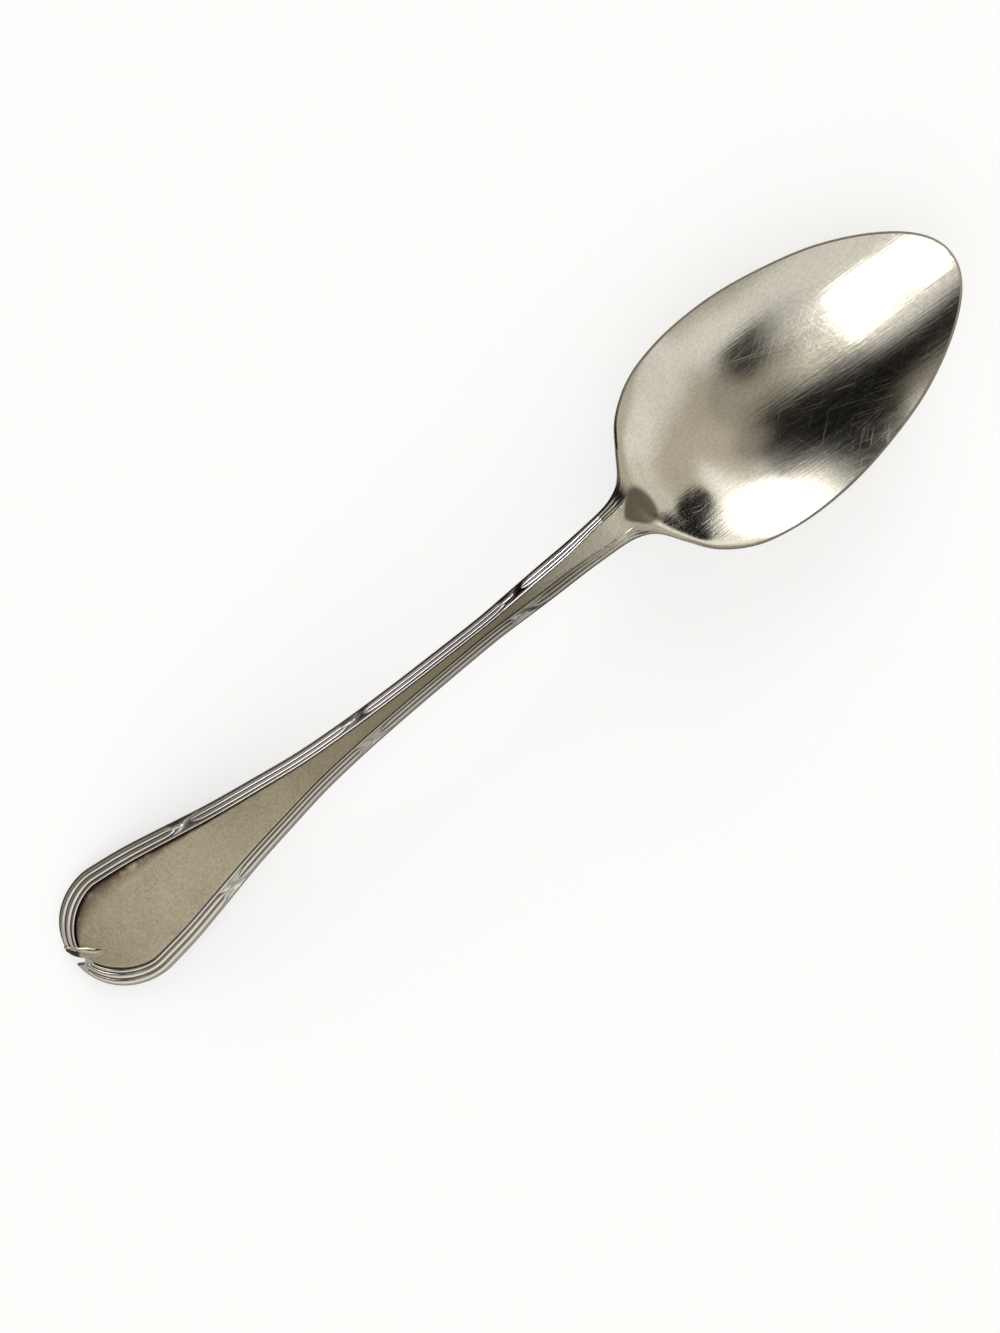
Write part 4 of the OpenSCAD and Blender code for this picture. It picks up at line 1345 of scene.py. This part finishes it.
# Soft panels of the studio: centre of the direction, half sizes, the share of them that is full, and
# the level. A half size of 9 leaves that axis out. The values weren't chosen by hand alone: they come from
# a least-squares fit to the brightness of the photo's bowl and panel, rounded, and some were then changed.
SKY_PANELS = [
    ((-0.99, -0.70, 0.00), (0.78, 0.64, 9), 0.50, 1.050),
    ((-1.05, 0.13, 0.00), (0.57, 0.31, 9), 0.23, 0.943),
    ((-1.05, 0.41, 0.00), (0.84, 0.39, 0.4), 0.48, 0.100),
    ((-0.16, -0.00, 0.00), (0.72, 0.15, 9), 0.26, 0.467),
    ((0.57, -1.06, 0.00), (0.85, 0.24, 9), 0.69, 0.309),
    ((1.10, -0.49, 0.00), (0.40, 0.70, 9), 0.35, 0.937),
    ((0.67, -0.03, 0.00), (0.40, 0.60, 9), 0.66, 0.421),
    ((0.75, 0.42, 0.00), (0.18, 0.55, 9), 0.02, 0.988),
    ((0.46, -0.42, 0.00), (0.28, 0.38, 9), 0.32, 0.349),
    ((0.27, -0.25, 0.00), (0.28, 0.36, 9), 0.74, 0.277),
    ((0.20, -0.54, 0.00), (0.17, 0.42, 9), 0.40, 0.030),
    ((0.02, 0.54, 0.00), (0.62, 0.38, 9), 0.34, 0.015),
    ((0.22, 0.24, 0.00), (0.37, 0.36, 9), 0.40, 0.008),
    ((0.81, 0.89, 0.00), (0.58, 0.44, 9), 0.40, 5.000),
    ((-0.75, 0.73, 0.00), (0.47, 0.63, 9), 0.56, 0.150),
    ((0.03, 0.89, 0.00), (0.27, 0.93, 9), 0.46, 0.003),
    ((-0.06, 1.06, 0.00), (0.20, 0.28, 9), 0.80, 0.910),
    ((0.905, 0.34, 0.15), (0.115, 0.19, 0.44), 0.70, 0.001),
    ((0.26, -0.80, 0.00), (0.24, 0.15, 9), 0.32, 0.644),
    ((0.42, 0.18, 0.00), (0.16, 0.21, 9), 0.21, 0.233),
    ((-0.07, 0.87, 0.00), (0.15, 0.26, 9), 0.09, 0.239),
]


def add_sky(stage):
    """Soft studio light all round: a plain world for the camera, and for the light one with soft panels.
    A panel's mask falls smoothly from 1 to 0 with the distance of the direction from the panel's centre,
    measured in the panel's own three half sizes."""
    world = bpy.data.worlds.new("Soft studio")
    world.use_nodes = True
    tree = world.node_tree
    tree.nodes.clear()
    way = add(tree, "ShaderNodeTexCoord", (0, 0)).outputs["Generated"]
    level = SKY_BASE
    for k, (centre, half, core, value) in enumerate(SKY_PANELS):
        off = add(tree, "ShaderNodeVectorMath", (1, k), _operation="SUBTRACT", i0=way, i1=centre).outputs[0]
        scaled = add(tree, "ShaderNodeVectorMath", (2, k), _operation="DIVIDE", i0=off, i1=half).outputs[0]
        far = add(tree, "ShaderNodeVectorMath", (3, k), _operation="LENGTH", i0=scaled).outputs["Value"]
        mask = ramp(tree, (4, k), far, 1.0, core, **SMOOTH)
        tint = SKY_BRIGHT if value > SKY_DIM_TO else SKY_DIM
        level = laid_over(tree, (5, k), mask, level, (*(value * part for part in tint), 1))
    light = add(tree, "ShaderNodeBackground", (6, 0), Color=level, Strength=stage.sky_level)
    plain = add(tree, "ShaderNodeBackground", (6, 1), Color=(*stage.floor_shown, 1), Strength=1.0)
    both = shown_to_camera(tree, (8, 0), plain, light)
    out = add(tree, "ShaderNodeOutputWorld", (9, 0))
    tree.links.new(both.outputs[0], out.inputs["Surface"])
    bpy.context.scene.world = world


# The lamps' places and sizes in metres, and the colour of the one beside the handle
BOWL_LAMP = ((0.048, -0.092, 0.35), (0.036, 0.22))
PANEL_LAMP = ((0.13, 0.0, 0.35), (0.20, 0.30))
BORDER_LAMP = ((-0.08, -0.36, 0.35), (0.62, 0.62))
BORDER_LAMP_COLOUR = (0.82, 0.81, 1.0)
# Pieces of the left border that it lights at another level, and the share of that level
NECK_PIECES = ["ribbon_neck_left", "reeds_neck_left"]
NECK_LAMP_SHARE = 2.3
END_PIECES = ["reeds_end_left"]
END_LAMP_SHARE = 0.2


def add_lamp(name, lamp_form, level, receivers):
    """A soft rectangular lamp facing down, out of the camera's sight, that lights the named pieces only."""
    place, size = lamp_form
    data = bpy.data.lights.new(name, "AREA")
    data.shape = "RECTANGLE"
    data.size, data.size_y = size
    data.energy = level * math.pi * size[0] * size[1]
    lamp = bpy.data.objects.new(name, data)
    lamp.location = place
    lamp.visible_camera = False
    bpy.context.scene.collection.objects.link(lamp)
    lit = bpy.data.collections.new(name + " light")
    for piece in receivers:
        lit.objects.link(bpy.data.objects[piece])
    lamp.light_linking.receiver_collection = lit
    return data


def add_lamps(stage):
    """The lamps that the metal mirrors: for the bowl's far end, the panel's neck end, and at three levels
    for the left border."""
    add_lamp("Bowl lamp", BOWL_LAMP, stage.bowl_lamp_level, ["bowl_shell"])
    border = [name for name in bpy.data.objects.keys()
              if name.endswith("_left") and name not in END_PIECES + NECK_PIECES]
    add_lamp("Panel lamp", PANEL_LAMP, stage.panel_lamp_level, ["handle_face", "neck_shell"])
    for name, lamp_share, lit in (("Border lamp", 1, border),
                                  ("Neck border lamp", NECK_LAMP_SHARE, NECK_PIECES),
                                  ("End lamp", END_LAMP_SHARE, END_PIECES)):
        data = add_lamp(name, BORDER_LAMP, lamp_share * stage.border_lamp_level, lit)
        data.color = BORDER_LAMP_COLOUR


class SPOON_OT_stage(bpy.types.Operator):
    """Makes the floor, the light and the camera"""
    bl_idname = "spoon.stage"
    bl_label = "Stage"

    def execute(self, context):
        stage = context.scene.spoon_stage
        add_floor(stage)
        add_sky(stage)
        add_lamps(stage)
        add_camera(stage)
        context.scene.view_settings.view_transform = "Standard"
        return {"FINISHED"}


class SPOON_PT_sidebar(bpy.types.Panel):
    """Sizes, finish and pieces of the spoon"""
    bl_idname = "SPOON_PT_sidebar"
    bl_label = "Soup spoon"
    bl_space_type = "VIEW_3D"
    bl_region_type = "UI"
    bl_category = "Spoon"

    def draw(self, context):
        for group in (context.scene.spoon_form, context.scene.spoon_finish, context.scene.spoon_stage):
            column = self.layout.column(align=True)
            for key in group.__annotations__:
                column.prop(group, key)
        for operator in OPERATORS:
            self.layout.operator(operator.bl_idname)


GROUPS = (SpoonForm, SpoonFinish, SpoonStage)
OPERATORS = (SPOON_OT_bowl, SPOON_OT_panel, SPOON_OT_border, SPOON_OT_knot, SPOON_OT_stage)


def register():
    """Registers the settings, the operators and the panel, and puts the settings on the scene."""
    for item in (*GROUPS, *OPERATORS, SPOON_PT_sidebar):
        bpy.utils.register_class(item)
    bpy.types.Scene.spoon_form = PointerProperty(type=SpoonForm)
    bpy.types.Scene.spoon_finish = PointerProperty(type=SpoonFinish)
    bpy.types.Scene.spoon_stage = PointerProperty(type=SpoonStage)


def unregister():
    """Takes all of them away again."""
    del bpy.types.Scene.spoon_stage
    del bpy.types.Scene.spoon_finish
    del bpy.types.Scene.spoon_form
    for item in reversed((*GROUPS, *OPERATORS, SPOON_PT_sidebar)):
        bpy.utils.unregister_class(item)


def main():
    """Makes the whole scene."""
    register()
    bpy.ops.spoon.bowl()
    bpy.ops.spoon.panel()
    bpy.ops.spoon.border()
    bpy.ops.spoon.knot()
    bpy.ops.spoon.stage()


if __name__ == "__main__":
    main()
